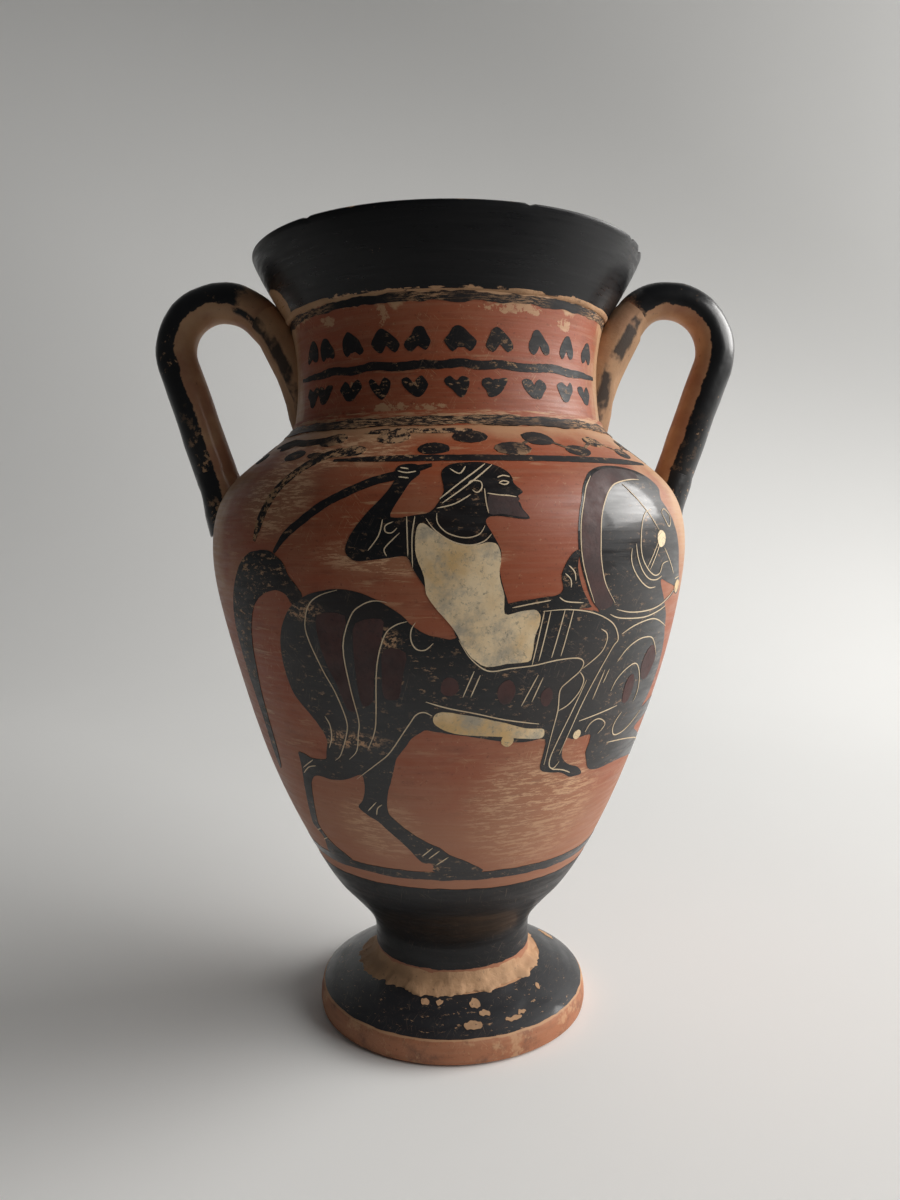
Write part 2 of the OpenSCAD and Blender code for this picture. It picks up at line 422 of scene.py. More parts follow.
def lumpy(bm, amount, scale, seed=0.0):
    """Pushes points off their place as if pressed by fingers."""
    bm.normal_update()
    for vert in bm.verts:
        where = vert.co * scale + Vector((seed, seed, seed))
        vert.co += vert.normal * (noise.noise(where) + 0.4 * noise.noise(where * 2.9)) * amount * MM


def into_wall(bm):
    """Moves points that would show inside the jar back into the middle of its wall."""
    for vert in bm.verts:
        height = vert.co.z / MM
        if height > LIP_SEAT:
            continue
        if height > NECK_SEAT:
            least = NECK_MIDDLE
        else:
            least = BODY.radius(height) - 3.0 * math.hypot(1, BODY.slope(height))
        flat = max(vert.co.xy.length / MM, 1e-6)
        if flat < least:
            vert.co.xy *= least / flat


def swept(stations, flat=1.0, sides=40, start=0.0):
    """A rope of clay through stations of (x, height, radius) in the plane of the handles."""
    bm = bmesh.new()
    outer = bm.verts.layers.float.new("outer_side")
    along = bm.verts.layers.float.new("along")
    around = bm.verts.layers.float.new("around")
    circle = bmesh.ops.create_circle(bm, segments=sides, radius=1.0)["verts"]
    for vert in circle:
        vert[outer] = vert.co.x
        vert[around] = math.atan2(vert.co.y, vert.co.x) / (2 * math.pi) + 0.5
    edges = bm.edges[:]
    before = Matrix.Identity(4)
    for i, (x, height, radius) in enumerate(stations):
        a, b = stations[max(i - 1, 0)], stations[min(i + 1, len(stations) - 1)]
        heading = Vector((b[0] - a[0], 0, b[1] - a[1])).normalized()
        outside = Vector((-heading.z, 0, heading.x))
        here = Matrix.Translation(Vector((x, 0, height)) * MM) @ Matrix((
            (outside.x, 0, heading.x, 0), (0, flat, 0, 0), (outside.z, 0, heading.z, 0),
            (0, 0, 0, 1),
        )) @ Matrix.Diagonal((radius * MM, radius * MM, radius * MM, 1))
        if i:
            new = bmesh.ops.extrude_edge_only(bm, edges=edges)["geom"]
            edges = [item for item in new if isinstance(item, bmesh.types.BMEdge)]
            circle = [item for item in new if isinstance(item, bmesh.types.BMVert)]
        bmesh.ops.transform(bm, matrix=here @ before.inverted(), verts=circle)
        for vert in circle:
            vert[along] = start + (1 - start) * i / (len(stations) - 1)
        before = here
    layer = bm.loops.layers.uv.new("OFBake")
    for face in bm.faces:
        turns = [loop.vert[around] for loop in face.loops]
        for loop, turn in zip(face.loops, turns):
            wrapped = turn if turn > max(turns) - 0.5 else turn + 1
            share = (loop.vert[along] - start) / (1 - start)
            loop[layer].uv = (wrapped / (1 + 1 / sides), 0.05 + 0.95 * share)
    caps = bmesh.ops.holes_fill(bm, edges=[e for e in bm.edges if e.is_boundary], sides=0)
    for face in caps["faces"]:
        middle = face.calc_center_median()
        for loop in face.loops:
            aside = (loop.vert.co - middle) / MM
            loop[layer].uv = (0.2 + aside.x * 0.002, 0.02 + aside.y * 0.002)
    bmesh.ops.recalc_face_normals(bm, faces=bm.faces)
    return bm


# ---------------------------------------------------------------- finishes


class Finish:
    """A node-based material, put together step by step."""

    def __init__(self, name):
        self.material = bpy.data.materials.new(name)
        self.material.use_nodes = True
        self.tree = self.material.node_tree
        self.tree.nodes.clear()
        self.coordinates = self.node("ShaderNodeTexCoord").outputs["Object"]

    def node(self, kind, values=(), **settings):
        """Adds a node, sets what is given, and links what comes from another node."""
        made = self.tree.nodes.new(kind)
        for key, value in settings.items():
            setattr(made, key, value)
        for key, value in dict(values).items():
            if isinstance(value, bpy.types.NodeSocket):
                self.tree.links.new(value, made.inputs[key])
            else:
                made.inputs[key].default_value = value
        return made

    def grain(self, scale, detail=3.0, stretch=(1, 1, 1), shift=0.0, rough=0.55):
        """Noise with so many features to the metre, drawn out along the axes."""
        place = self.node("ShaderNodeMapping", {
            "Vector": self.coordinates, "Location": (shift, shift * 0.7, shift * 1.3),
            "Scale": stretch,
        })
        return self.node("ShaderNodeTexNoise", {
            "Vector": place.outputs[0], "Scale": scale, "Detail": detail, "Roughness": rough,
        }).outputs[0]

    def scratches(self, where=0.5):
        """Short hair-thin scratches that run two ways, kept only in patches."""
        marks = 0.0
        for tilt in (0.5, -0.8):
            place = self.node("ShaderNodeMapping", {
                "Vector": self.coordinates, "Rotation": (tilt, tilt * 1.3, 0.4),
                "Scale": (0.006, 0.006, 0.00022),
            }, vector_type="TEXTURE")
            hair = self.node("ShaderNodeTexNoise", {
                "Vector": place.outputs[0], "Scale": 1.0, "Detail": 1.0,
            }).outputs[0]
            marks = self.sum("ADD", marks, self.span(hair, 0.68, 0.73))
        patch = self.span(self.grain(46, 4, shift=6.1), where, where + 0.1)
        return self.sum("MULTIPLY", self.sum("MINIMUM", marks, 1.0), patch)

    def span(self, value, low, high, to=(0.0, 1.0)):
        """Maps low..high smoothly onto a range."""
        return self.node("ShaderNodeMapRange", {
            0: value, 1: low, 2: high, 3: to[0], 4: to[1],
        }, interpolation_type="SMOOTHSTEP").outputs[0]

    def sum(self, operation, a, b=0.0, c=0.0):
        """One step of arithmetic."""
        return self.node("ShaderNodeMath", {0: a, 1: b, 2: c}, operation=operation).outputs[0]

    def blend(self, share, a, b):
        """Two colours blended by a share of the second."""
        a = (*a, 1) if isinstance(a, (tuple, bpy.types.bpy_prop_array)) else a
        b = (*b, 1) if isinstance(b, (tuple, bpy.types.bpy_prop_array)) else b
        return self.node("ShaderNodeMix", {0: share, 6: a, 7: b},
                         data_type="RGBA", blend_type="MIX").outputs[2]

    def axes(self):
        """The coordinates apart, as three numbers in metres."""
        return self.node("ShaderNodeSeparateXYZ", {0: self.coordinates}).outputs

    def bearing(self):
        """The angle round the jar from the front, in degrees."""
        x, y, z = self.axes()
        back = self.sum("MULTIPLY", y, -1.0)
        return self.sum("MULTIPLY", self.sum("ARCTAN2", x, back), math.degrees(1))

    def surface(self, colour, roughness, height, depth, coat=0.0, coat_rough=0.2, specular=0.5):
        """Ends the material in one shader."""
        bump = self.node("ShaderNodeBump", {
            "Height": height, "Distance": depth * MM, "Strength": 1.0,
        })
        shader = self.node("ShaderNodeBsdfPrincipled", {
            "Base Color": colour, "Roughness": roughness, "Normal": bump.outputs[0],
            "Coat Weight": coat, "Coat Roughness": coat_rough, "Specular IOR Level": specular,
        })
        out = self.node("ShaderNodeOutputMaterial")
        self.tree.links.new(shader.outputs[0], out.inputs[0])
        return self.material


def colour_of(name):
    """A colour from the settings, as a plain tuple."""
    return tuple(getattr(bpy.context.scene.amphora_colours, name))


def clay_ground(f, red=None, faded=0.5, streaks=0.25):
    """Red clay with faded blotches, wheel marks, pits and fine scratches."""
    red = red or colour_of("red_clay")
    dusty, tan = colour_of("dusty_clay"), colour_of("tan_clay")
    blotch = f.span(f.grain(19, 6, shift=3.1, rough=0.65), 0.4, 0.7, to=(0.0, faded))
    colour = f.blend(blotch, red, dusty)
    wheel = f.span(f.grain(34, 5, stretch=(1, 1, 26)), 0.45, 0.7, to=(0.0, streaks))
    colour = f.blend(wheel, colour, dusty)
    dark = f.span(f.grain(90, 5, stretch=(1, 1, 4), shift=7.7), 0.5, 0.75, to=(0.0, 0.4))
    colour = f.blend(dark, colour, tuple(c * 0.5 for c in red))
    speck = f.span(f.grain(900, 3, shift=1.4, rough=0.7), 0.6, 0.7, to=(0.0, 0.5))
    colour = f.blend(speck, colour, tuple(c * 0.35 for c in red))
    chalk = f.span(f.grain(620, 4, shift=5.4, rough=0.8), 0.62, 0.7, to=(0.0, 0.5))
    colour = f.blend(chalk, colour, tan)
    return f.blend(f.sum("MULTIPLY", f.scratches(), 0.6), colour, tan)


def rubbed(f, amount, shift=0.0):
    """A mask of short level scuffs gathered in patches."""
    patch = f.span(f.grain(13, 3, shift=5.2 + shift), 0.5, 0.68)
    scuff = f.span(f.grain(70, 5, stretch=(1, 1, 9), shift=2.6 + shift, rough=0.7), 0.56, 0.68)
    return f.sum("MULTIPLY", f.sum("MULTIPLY", patch, scuff), amount)


def spot(f, bearing, height, at, size):
    """A soft mask round a place on the wall, sizes in degrees and millimetres."""
    across = f.sum("DIVIDE", f.sum("SUBTRACT", bearing, at[0]), size[0])
    up = f.sum("DIVIDE", f.sum("SUBTRACT", height, at[1] * MM), size[1] * MM)
    far = f.sum("ADD", f.sum("MULTIPLY", across, across), f.sum("MULTIPLY", up, up))
    return f.span(far, 1.0, 0.1)


def wheel_relief(f):
    """Fine level ridges left by the fingers and the brush on the wheel."""
    ridges = f.grain(24, 4, stretch=(1, 1, 34), shift=9.0)
    grit = f.grain(1500, 3)
    return f.sum("ADD", ridges, f.sum("MULTIPLY", grit, 0.25))


def red_clay_finish():
    """The ground of the painted zone, with its rubbed places."""
    f = Finish("red_clay_ground")
    colour = clay_ground(f)
    bearing = f.bearing()
    z = f.axes()[2]
    tan = colour_of("tan_clay")
    pale = tuple(min(c * 1.35 + 0.05, 1) for c in tan)
    colour = f.blend(rubbed(f, 0.75), colour, tan)
    scuffs = f.span(f.grain(120, 6, stretch=(1, 1, 7), shift=4.0, rough=0.8), 0.49, 0.56)
    worn_places = (((26, 92), (26, 26)), ((-22, 86), (16, 14)), ((-8, 176), (22, 7)),
                   ((-30, 209), (26, 9)), ((-40, 194), (13, 16)), ((154, 92), (24, 24)),
                   ((-150, 176), (22, 7)))
    for at, size in worn_places:
        place = spot(f, bearing, z, at, size)
        colour = f.blend(f.sum("MULTIPLY", place, scuffs), colour, pale)
        colour = f.blend(f.sum("MULTIPLY", place, 0.28), colour, tan)
    away = f.sum("ABSOLUTE", bearing)
    side = f.sum("ABSOLUTE", f.sum("SUBTRACT", away, 90.0))
    ragged = f.sum("MULTIPLY_ADD", f.grain(60, 4, shift=8.8), 44.0, side)
    near_handle = f.span(ragged, 62.0, 40.0)
    high = f.span(f.sum("MULTIPLY_ADD", f.grain(45, 4), 0.05, z), 0.165, 0.222)
    colour = f.blend(f.sum("MULTIPLY", near_handle, high), colour, tan)
    top = f.span(f.sum("MULTIPLY_ADD", f.grain(70, 4, shift=2.2), 0.012, z), 0.2145, 0.2215)
    colour = f.blend(f.sum("MULTIPLY", top, 0.7), colour, tan)
    # the red turns paler and duller towards the bottom, below about 135 mm
    paler_towards_bottom = f.span(f.sum("MULTIPLY_ADD", f.grain(30, 4), 0.04, z), 0.135, 0.1, to=(0.0, 0.6))
    colour = f.blend(paler_towards_bottom, colour, colour_of("dusty_clay"))
    rough = f.span(f.grain(60, 3, stretch=(1, 1, 14)), 0.3, 0.7, to=(0.42, 0.62))
    return f.surface(colour, rough, wheel_relief(f), 0.09, coat=0.12, coat_rough=0.35)


def slip_finish(name, bare=0.5, low=0.58, brown=0.3, shine=0.4, drawn=2.2, dull=0.0,
                painted_sheen_lift=1.0, worn_places=()):
    """Black slip, dulled by fine scratches and rubbed through to the clay in places, and lightened
    as a painted sheen when its lift is above 1.
    """
    f = Finish(name)
    # painted sheen: a lift above 1 lightens the black to stand in for the glaze's sheen
    black = tuple(c * painted_sheen_lift for c in colour_of("slip"))
    cloud = f.span(f.grain(40, 5, shift=6.6), 0.38, 0.72, to=(0.0, brown))
    colour = f.blend(cloud, black, (0.034, 0.02, 0.016))
    brush = f.span(f.grain(34, 4, stretch=(1, 1, 30), shift=1.1), 0.5, 0.8, to=(0.0, 0.5))
    colour = f.blend(brush, colour, (0.022, 0.023, 0.027))
    flake = f.span(f.grain(300, 6, stretch=(1, 1, drawn), shift=3.7, rough=0.8), low, low + 0.04)
    patch = f.span(f.grain(34, 4, shift=0.7), 0.36, 0.6)
    gone = f.sum("MULTIPLY", f.sum("MULTIPLY", flake, patch), bare)
    if worn_places:
        bearing, z = f.bearing(), f.axes()[2]
        crumbs = f.span(f.grain(420, 6, stretch=(1, 1, 1.6), shift=8.2, rough=0.8), 0.5, 0.56)
        for at, size in worn_places:
            gone = f.sum("MAXIMUM", gone, f.sum("MULTIPLY", spot(f, bearing, z, at, size), crumbs))
    colour = f.blend(gone, colour, colour_of("tan_clay"))
    dust = f.span(f.grain(1000, 4, shift=7.3, rough=0.8), 0.58, 0.7, to=(0.0, 0.2))
    colour = f.blend(dust, colour, (0.16, 0.1, 0.07))
    hairs = f.sum("MULTIPLY", f.scratches(0.47), 0.4)
    colour = f.blend(hairs, colour, (0.2, 0.14, 0.1))
    rough = f.span(f.grain(90, 4, stretch=(1, 1, 6)), 0.3, 0.72, to=(0.3 + dull, 0.5 + dull))
    rough = f.sum("ADD", rough, f.sum("MULTIPLY", gone, 0.3))
    return f.surface(colour, rough, wheel_relief(f), 0.05, coat=shine, coat_rough=0.12,
                     specular=0.35)


def paint_finish(name, colour, dirt, second=None, soil=0.5, rough=(0.55, 0.75)):
    """Matt added paint over the slip, stained and thin in places."""
    f = Finish(name)
    second = second or dirt
    wash = f.span(f.grain(42, 5, shift=8.9), 0.42, 0.66, to=(0.0, soil))
    shade = f.blend(wash, colour, second)
    stain = f.span(f.grain(80, 6, shift=2.9, rough=0.7), 0.45, 0.68, to=(0.0, soil))
    shade = f.blend(stain, shade, dirt)
    grime = f.span(f.grain(700, 5, shift=4.4, rough=0.8), 0.52, 0.7, to=(0.0, soil))
    shade = f.blend(grime, shade, tuple(c * 0.6 for c in dirt))
    shade = f.blend(f.sum("MULTIPLY", f.scratches(), 0.5), shade,
                    tuple(c * 0.5 for c in dirt))
    roughness = f.span(f.grain(200, 3), 0.3, 0.7, to=rough)
    return f.surface(shade, roughness, f.grain(1100, 4), 0.06)


def joint_finish():
    """The seam between neck and shoulder: red clay, scraped pale in streaks."""
    f = Finish("joint_clay")
    colour = clay_ground(f, faded=0.5)
    scrape = f.span(f.grain(60, 5, stretch=(1, 1, 9), shift=1.0, rough=0.7), 0.46, 0.58)
    colour = f.blend(f.sum("MULTIPLY", scrape, 0.85), colour, colour_of("tan_clay"))
    return f.surface(colour, 0.6, wheel_relief(f), 0.12)


def root_finish():
    """Clay smeared under a handle's arm: tan, reddish in patches, streaked with worn black."""
    f = Finish("root_clay")
    tan = colour_of("tan_clay")
    cloud = f.span(f.grain(60, 5), 0.35, 0.7)
    colour = f.blend(cloud, tan, tuple(c * 0.75 for c in tan))
    colour = f.blend(f.span(f.grain(38, 4, shift=5.0), 0.45, 0.7, to=(0.0, 0.6)), colour,
                     colour_of("dusty_clay"))
    outer = f.node("ShaderNodeAttribute", attribute_name="outer_side").outputs["Fac"]
    torn = f.grain(130, 6, stretch=(1, 1, 0.5), shift=4.1, rough=0.75)
    line = f.sum("ABSOLUTE", f.sum("ADD", f.sum("MULTIPLY_ADD", torn, 0.5, outer), 0.1))
    streak = f.sum("MULTIPLY", f.span(line, 0.34, 0.2), f.span(f.grain(60, 4, shift=2.2), 0.4, 0.5))
    colour = f.blend(f.sum("MULTIPLY", streak, 0.9), colour, colour_of("slip"))
    pits = f.span(f.grain(420, 4, shift=1.9, rough=0.7), 0.62, 0.74, to=(0.0, 0.7))
    colour = f.blend(pits, colour, (0.09, 0.06, 0.045))
    relief = f.sum("ADD", f.grain(260, 6, rough=0.7), f.sum("MULTIPLY", f.grain(60, 3), 1.4))
    return f.surface(colour, 0.75, relief, 0.35)


def tan_finish():
    """Rough luting clay, crumbly at its edges."""
    f = Finish("tan_luting_clay")
    tan = colour_of("tan_clay")
    cloud = f.span(f.grain(60, 5), 0.35, 0.7)
    colour = f.blend(cloud, tan, tuple(c * 0.72 for c in tan))
    reddish = f.span(f.grain(38, 4, shift=5.0), 0.5, 0.75, to=(0.0, 0.55))
    colour = f.blend(reddish, colour, colour_of("dusty_clay"))
    pits = f.span(f.grain(420, 4, shift=1.9, rough=0.7), 0.62, 0.74, to=(0.0, 0.8))
    colour = f.blend(pits, colour, (0.09, 0.06, 0.045))
    relief = f.sum("ADD", f.grain(260, 6, rough=0.7), f.sum("MULTIPLY", f.grain(60, 3), 1.4))
    return f.surface(colour, 0.8, relief, 0.45)


def neck_finish():
    """The neck's red ground, bare and tan near the handles and at both ends."""
    f = Finish("neck_clay")
    colour = clay_ground(f, faded=0.35, streaks=0.3)
    tan = colour_of("tan_clay")
    z = f.axes()[2]
    colour = f.blend(rubbed(f, 0.8, shift=1.0), colour, tan)
    side = f.sum("ABSOLUTE", f.sum("SUBTRACT", f.sum("ABSOLUTE", f.bearing()), 90.0))
    ragged = f.sum("MULTIPLY_ADD", f.grain(75, 4, stretch=(1, 1, 0.45)), 34.0, side)
    colour = f.blend(f.span(ragged, 45.0, 36.0), colour, tan)
    chalky = f.grain(230, 6, shift=2.4, rough=0.75)
    for at, size in (((-21, 250.5), (4, 6.5)), ((22, 252.4), (19, 3.2)), ((43, 249.5), (6, 3.6)),
                     ((-44, 251), (8, 3)), ((-33, 229), (5, 3)), ((-14, 221.5), (24, 3)),
                     ((159, 251), (5, 6)), ((205, 252), (19, 3))):
        place = spot(f, f.bearing(), z, at, size)
        worn = f.span(f.sum("MULTIPLY_ADD", chalky, 2.4, place), 2.1, 2.2)
        colour = f.blend(f.sum("MULTIPLY", worn, 0.85), colour, tan)
    torn = f.grain(80, 5, shift=3.3, rough=0.65)
    crown = f.span(f.sum("MULTIPLY_ADD", torn, 0.016, z), 0.2618, 0.2636)
    colour = f.blend(crown, colour, tan)
    root = f.span(f.sum("MULTIPLY_ADD", torn, -0.016, z), 0.2125, 0.2095)
    colour = f.blend(root, colour, tan)
    rough = f.span(f.grain(60, 3, stretch=(1, 1, 14)), 0.3, 0.7, to=(0.45, 0.65))
    return f.surface(colour, rough, wheel_relief(f), 0.09, coat=0.1, coat_rough=0.35)


def lip_finish():
    """Black slip on the lip, worn to tan at its lower edge and chipped at its rim."""
    f = Finish("lip_slip")
    z = f.axes()[2]
    black = colour_of("slip")
    brush = f.span(f.grain(30, 4, stretch=(1, 1, 36), shift=1.1), 0.5, 0.8, to=(0.0, 0.5))
    colour = f.blend(brush, black, (0.018, 0.018, 0.02))
    torn = f.grain(95, 5, stretch=(1, 1, 2), shift=3.3, rough=0.7)
    low = f.span(f.sum("MULTIPLY_ADD", torn, -0.0065, z), 0.2544, 0.2539)
    colour = f.blend(low, colour, colour_of("tan_clay"))
    corner = spot(f, f.bearing(), z, (-84, 261), (24, 9.5))
    bare_corner = f.span(f.sum("MULTIPLY_ADD", torn, 0.7, corner), 0.72, 0.82)
    colour = f.blend(bare_corner, colour, colour_of("tan_clay"))
    high = f.span(f.sum("MULTIPLY_ADD", torn, 0.004, z), 0.2822, 0.2827)
    colour = f.blend(high, colour, colour_of("tan_clay"))
    flake = f.span(f.grain(330, 4, shift=3.7, rough=0.75), 0.68, 0.71, to=(0.0, 0.8))
    patch = f.span(f.grain(26, 3, shift=4.7), 0.52, 0.66)
    colour = f.blend(f.sum("MULTIPLY", flake, patch), colour, colour_of("tan_clay"))
    rough = f.span(f.grain(80, 4, stretch=(1, 1, 10)), 0.3, 0.72, to=(0.26, 0.46))
    return f.surface(colour, rough, wheel_relief(f), 0.07, coat=0.1, coat_rough=0.2, specular=0.25)


def handle_finish():
    """Black slip on a handle's outer side, bare clay on its inner side and at its roots."""
    f = Finish("handle_slip")
    outer = f.node("ShaderNodeAttribute", attribute_name="outer_side").outputs["Fac"]
    along = f.node("ShaderNodeAttribute", attribute_name="along").outputs["Fac"]
    tan = colour_of("tan_clay")
    bare = f.blend(f.span(f.grain(80, 4), 0.35, 0.7), colour_of("dusty_clay"), tan)
    bare = f.blend(f.span(f.grain(420, 4, rough=0.7), 0.62, 0.76, to=(0.0, 0.6)), bare,
                   (0.1, 0.06, 0.04))
    black = colour_of("slip")
    slip = f.blend(f.span(f.grain(60, 4, shift=2.0), 0.45, 0.8, to=(0.0, 0.5)), black,
                   (0.04, 0.037, 0.036))
    flake = f.span(f.grain(300, 5, shift=3.7, rough=0.75), 0.6, 0.66)
    patch = f.span(f.grain(40, 3, shift=9.7), 0.48, 0.62)
    slip = f.blend(f.sum("MULTIPLY", flake, patch), slip, tan)
    chipped = f.span(f.grain(230, 6, shift=6.7, rough=0.75), 0.545, 0.575)
    right = f.span(f.axes()[0], -0.01, 0.01)
    low = f.sum("MULTIPLY", f.span(along, 0.8, 0.95), f.span(outer, 0.75, 0.35))
    low = f.sum("MULTIPLY", low, f.sum("MULTIPLY_ADD", right, -0.8, 1.0))
    slip = f.blend(f.sum("MULTIPLY", f.sum("MULTIPLY", chipped, low), 0.85), slip, tan)
    torn = f.grain(150, 5, shift=1.2, rough=0.7)
    edge = f.sum("MULTIPLY_ADD", torn, 0.55, f.sum("MULTIPLY_ADD", right, 0.2, outer))
    covered = f.span(edge, 0.06, 0.12)
    start = f.sum("MULTIPLY_ADD", right, 0.14, along)
    rooted = f.span(f.sum("MULTIPLY_ADD", f.grain(70, 5, shift=6.1, rough=0.7), 0.3, start),
                    0.40, 0.45)
    colour = f.blend(f.sum("MULTIPLY", covered, rooted), bare, slip)
    line = f.sum("ABSOLUTE", f.sum("ADD", f.sum("MULTIPLY_ADD", torn, 0.2, outer), 0.28))
    thin = f.sum("MULTIPLY", f.span(line, 0.2, 0.08),
                 f.span(f.grain(120, 5, shift=8.0, rough=0.7), 0.4, 0.5))
    colour = f.blend(f.sum("MULTIPLY", thin, f.span(rooted, 1.0, 0.0)), colour, black)
    rough = f.sum("MULTIPLY_ADD", f.sum("MULTIPLY", covered, rooted), -0.38, 0.72)
    relief = f.sum("ADD", f.grain(300, 4), f.sum("MULTIPLY", f.grain(70, 3), 1.2))
    return f.surface(colour, rough, relief, 0.12, coat=0.25, coat_rough=0.18)


def foot_finish():
    """The foot's bare clay: brick-brown on its edge, with dark dirt and pale ash in patches."""
    f = Finish("foot_clay")
    colour = clay_ground(f, red=(0.40, 0.155, 0.075), faded=0.7, streaks=0.5)
    colour = f.blend(rubbed(f, 0.6), colour, colour_of("tan_clay"))
    dirt = f.span(f.grain(140, 5, shift=2.0, rough=0.7), 0.48, 0.7, to=(0.0, 0.6))
    colour = f.blend(dirt, colour, (0.12, 0.06, 0.04))
    ash = f.span(f.grain(75, 5, shift=4.3, rough=0.7), 0.54, 0.64, to=(0.0, 0.7))
    colour = f.blend(ash, colour, colour_of("tan_clay"))
    edge = f.span(f.sum("MULTIPLY_ADD", f.grain(160, 4), 0.0012, f.axes()[2]), 0.0088, 0.0092)
    colour = f.blend(f.sum("MULTIPLY", edge, 0.7), colour, colour_of("tan_clay"))
    return f.surface(colour, 0.7, wheel_relief(f), 0.14)


def inside_finish():
    """The unslipped inside of the jar."""
    f = Finish("inside_clay")
    colour = clay_ground(f, red=(0.36, 0.16, 0.09), faded=0.8, streaks=0.6)
    dirt = f.span(f.grain(50, 5, shift=2.0), 0.45, 0.75, to=(0.0, 0.6))
    colour = f.blend(dirt, colour, (0.14, 0.085, 0.06))
    return f.surface(colour, 0.8, wheel_relief(f), 0.2)


FINISHES = {
    "red": red_clay_finish,
    "tan": tan_finish,
    "joint": joint_finish,
    "root": root_finish,
    "neck": neck_finish,
    "lip": lip_finish,
    "handle": handle_finish,
    "foot": foot_finish,
    "inside": inside_finish,
    "slip": lambda: slip_finish("figure_slip", worn_places=(
        ((-27, 118), (16, 3.6)), ((-31, 159), (6, 4)), ((-13, 151), (4, 5)), ((-8, 72), (6, 2.5)),
        ((151, 118), (16, 3.6)))),
    "leaf": lambda: slip_finish("leaf_slip", bare=0.7, low=0.57, shine=0.05, dull=0.2),
    "worn_slip": lambda: slip_finish("worn_slip", bare=0.85, low=0.5, brown=0.5, shine=0.1,
                                     drawn=9, dull=0.2),
    "smear": lambda: slip_finish("smeared_slip", bare=0.9, low=0.49, brown=0.4, shine=0.0,
                                 drawn=1.2, dull=0.3),
    "base_slip": lambda: slip_finish("base_slip", bare=0.3, low=0.64, brown=0.0, shine=0.12,
                                     dull=0.06),
    # painted sheen: the foot top's black is lightened 2.4 times, standing in for the sheen across
    # its front
    "foot_slip": lambda: slip_finish("foot_top_slip", bare=0.9, low=0.61, brown=0.1, drawn=6,
                                     dull=0.08, painted_sheen_lift=2.4),
    "faded": lambda: slip_finish("faded_slip", bare=0.75, low=0.555, brown=0.6, shine=0.15,
                                 dull=0.15),
    "purple": lambda: paint_finish("purple_paint", colour_of("purple"), (0.03, 0.02, 0.02),
                                   soil=0.6),
    "cream": lambda: paint_finish("cream_paint", colour_of("cream"), (0.40, 0.36, 0.29),
                                  second=(0.66, 0.42, 0.17), soil=0.85),
    "line": lambda: paint_finish("incised_clay", colour_of("line"), (0.5, 0.32, 0.18), soil=0.3),
}
made_finishes = {}


def finish_for(key):
    """A finish by its short name, made once."""
    if key not in made_finishes:
        made_finishes[key] = FINISHES[key]()
    return made_finishes[key]


# ---------------------------------------------------------------- pieces


def build_body():
    """The wheel-thrown body: stem, belly and shoulder."""
    inside = [p for p in inwards(BODY_OUTSIDE, WALL) if p[1] > FLOOR_TOP + 1.5]
    floor = [(inside[0][0] - 3, 37.3), (inside[0][0] * 0.5, FLOOR_TOP), (0, FLOOR_TOP)]
    outline = [(0, STEM_FOOT)] + BODY_OUTSIDE + inside[::-1] + floor
    bm = turned(outline, hidden_from=len(BODY_OUTSIDE) + 1)
    uneven(bm)
    finished(bm, "amphora_body", finish_for("red"), ["body"],
             lining=finish_for("inside"))
    slips = (("base", 23.2, 63.0, "base_slip", 0.35), ("ground_line", 67.0, 70.3, "slip", 0.45))
    for name, low, high, finish, ragged in slips:
        ring_layer("slip_" + name, band(BODY_OUTSIDE, low, high), 0.11, finish_for(finish), ragged)


def build_foot():
    """The disc foot with its hollow underside and black top."""
    under = [(0, 6.5), (20, 6.5), (40.5, 6.5), (42.6, 5.6), (43.4, 3.6), (43.8, 0.9), (44.8, 0)]
    outline = under + FOOT_EDGE + FOOT_TOP[1:] + [(29.8, 16.9), (29.8, STEM_FOOT), (0, STEM_FOOT)]
    bm = turned(outline, hidden_from=len(outline) - 4)
    for vert in bm.verts:
        degrees = degrees_of(vert.co)
        if vert.co.xy.length > 49.4 * MM and vert.co.z > 7 * MM:
            angle = math.radians(degrees)
            chip = noise.noise(Vector((math.cos(angle) * 7, math.sin(angle) * 7, 3)))
            vert.co.z -= max(chip - 0.3, 0) * 1.6 * MM
    uneven(bm)
    finished(bm, "amphora_foot", finish_for("foot"), ["foot"], sharp=45)
    ring_layer("slip_foot_top", FOOT_TOP[::-1], 0.13, finish_for("foot_slip"), 0.25)
    flakes = [oval((9, 11.4), 4.0, 0.75, 1), oval((15.5, 13.2), 2.6, 0.6, 2),
              oval((28, 11.4), 4.0, 0.45, 3), oval((33, 11.9), 2.2, 0.3, 4),
              oval((52, 14.4), 1.6, 0.35, 5), oval((-15, 15.1), 2.4, 0.4, 6),
              oval((12, 14.8), 2.8, 0.7, 7), oval((-7, 15.2), 2.0, 0.35, 8),
              oval((118, 12.4), 6, 0.8, 9), oval((204, 11.2), 7, 0.6, 10)]
    painted("foot_flakes", [brushed(flake, i, 0.34) for i, flake in enumerate(flakes)],
            Wall(FOOT_TOP), 0.13, finish_for("tan"), thick=0.07, cell=(3.0, 0.5))


def build_neck():
    """The neck, thrown apart and set on the shoulder."""
    bore = [(NECK_BORE, LIP_SEAT)]
    bore += [(NECK_BORE, z) for z in (250, 240, 230, NECK_SEAT + 4, NECK_SEAT)]
    bm = turned(NECK_OUTSIDE + bore, hidden_from=len(NECK_OUTSIDE))
    uneven(bm)
    finished(bm, "amphora_neck", finish_for("neck"), ["neck"],
             lining=finish_for("inside"))
    under_lip = band(NECK_OUTSIDE, 253.8, 256.4)
    ring_layer("slip_under_lip", under_lip, 0.11, finish_for("worn_slip"), 0.9)
    joint = [(60.6, 215.5), (59.5, 216.5), (58.6, 217.4), (57.9, 218.5)]
    ring_layer("slip_neck_foot", joint, 0.22, finish_for("worn_slip"), 0.9)


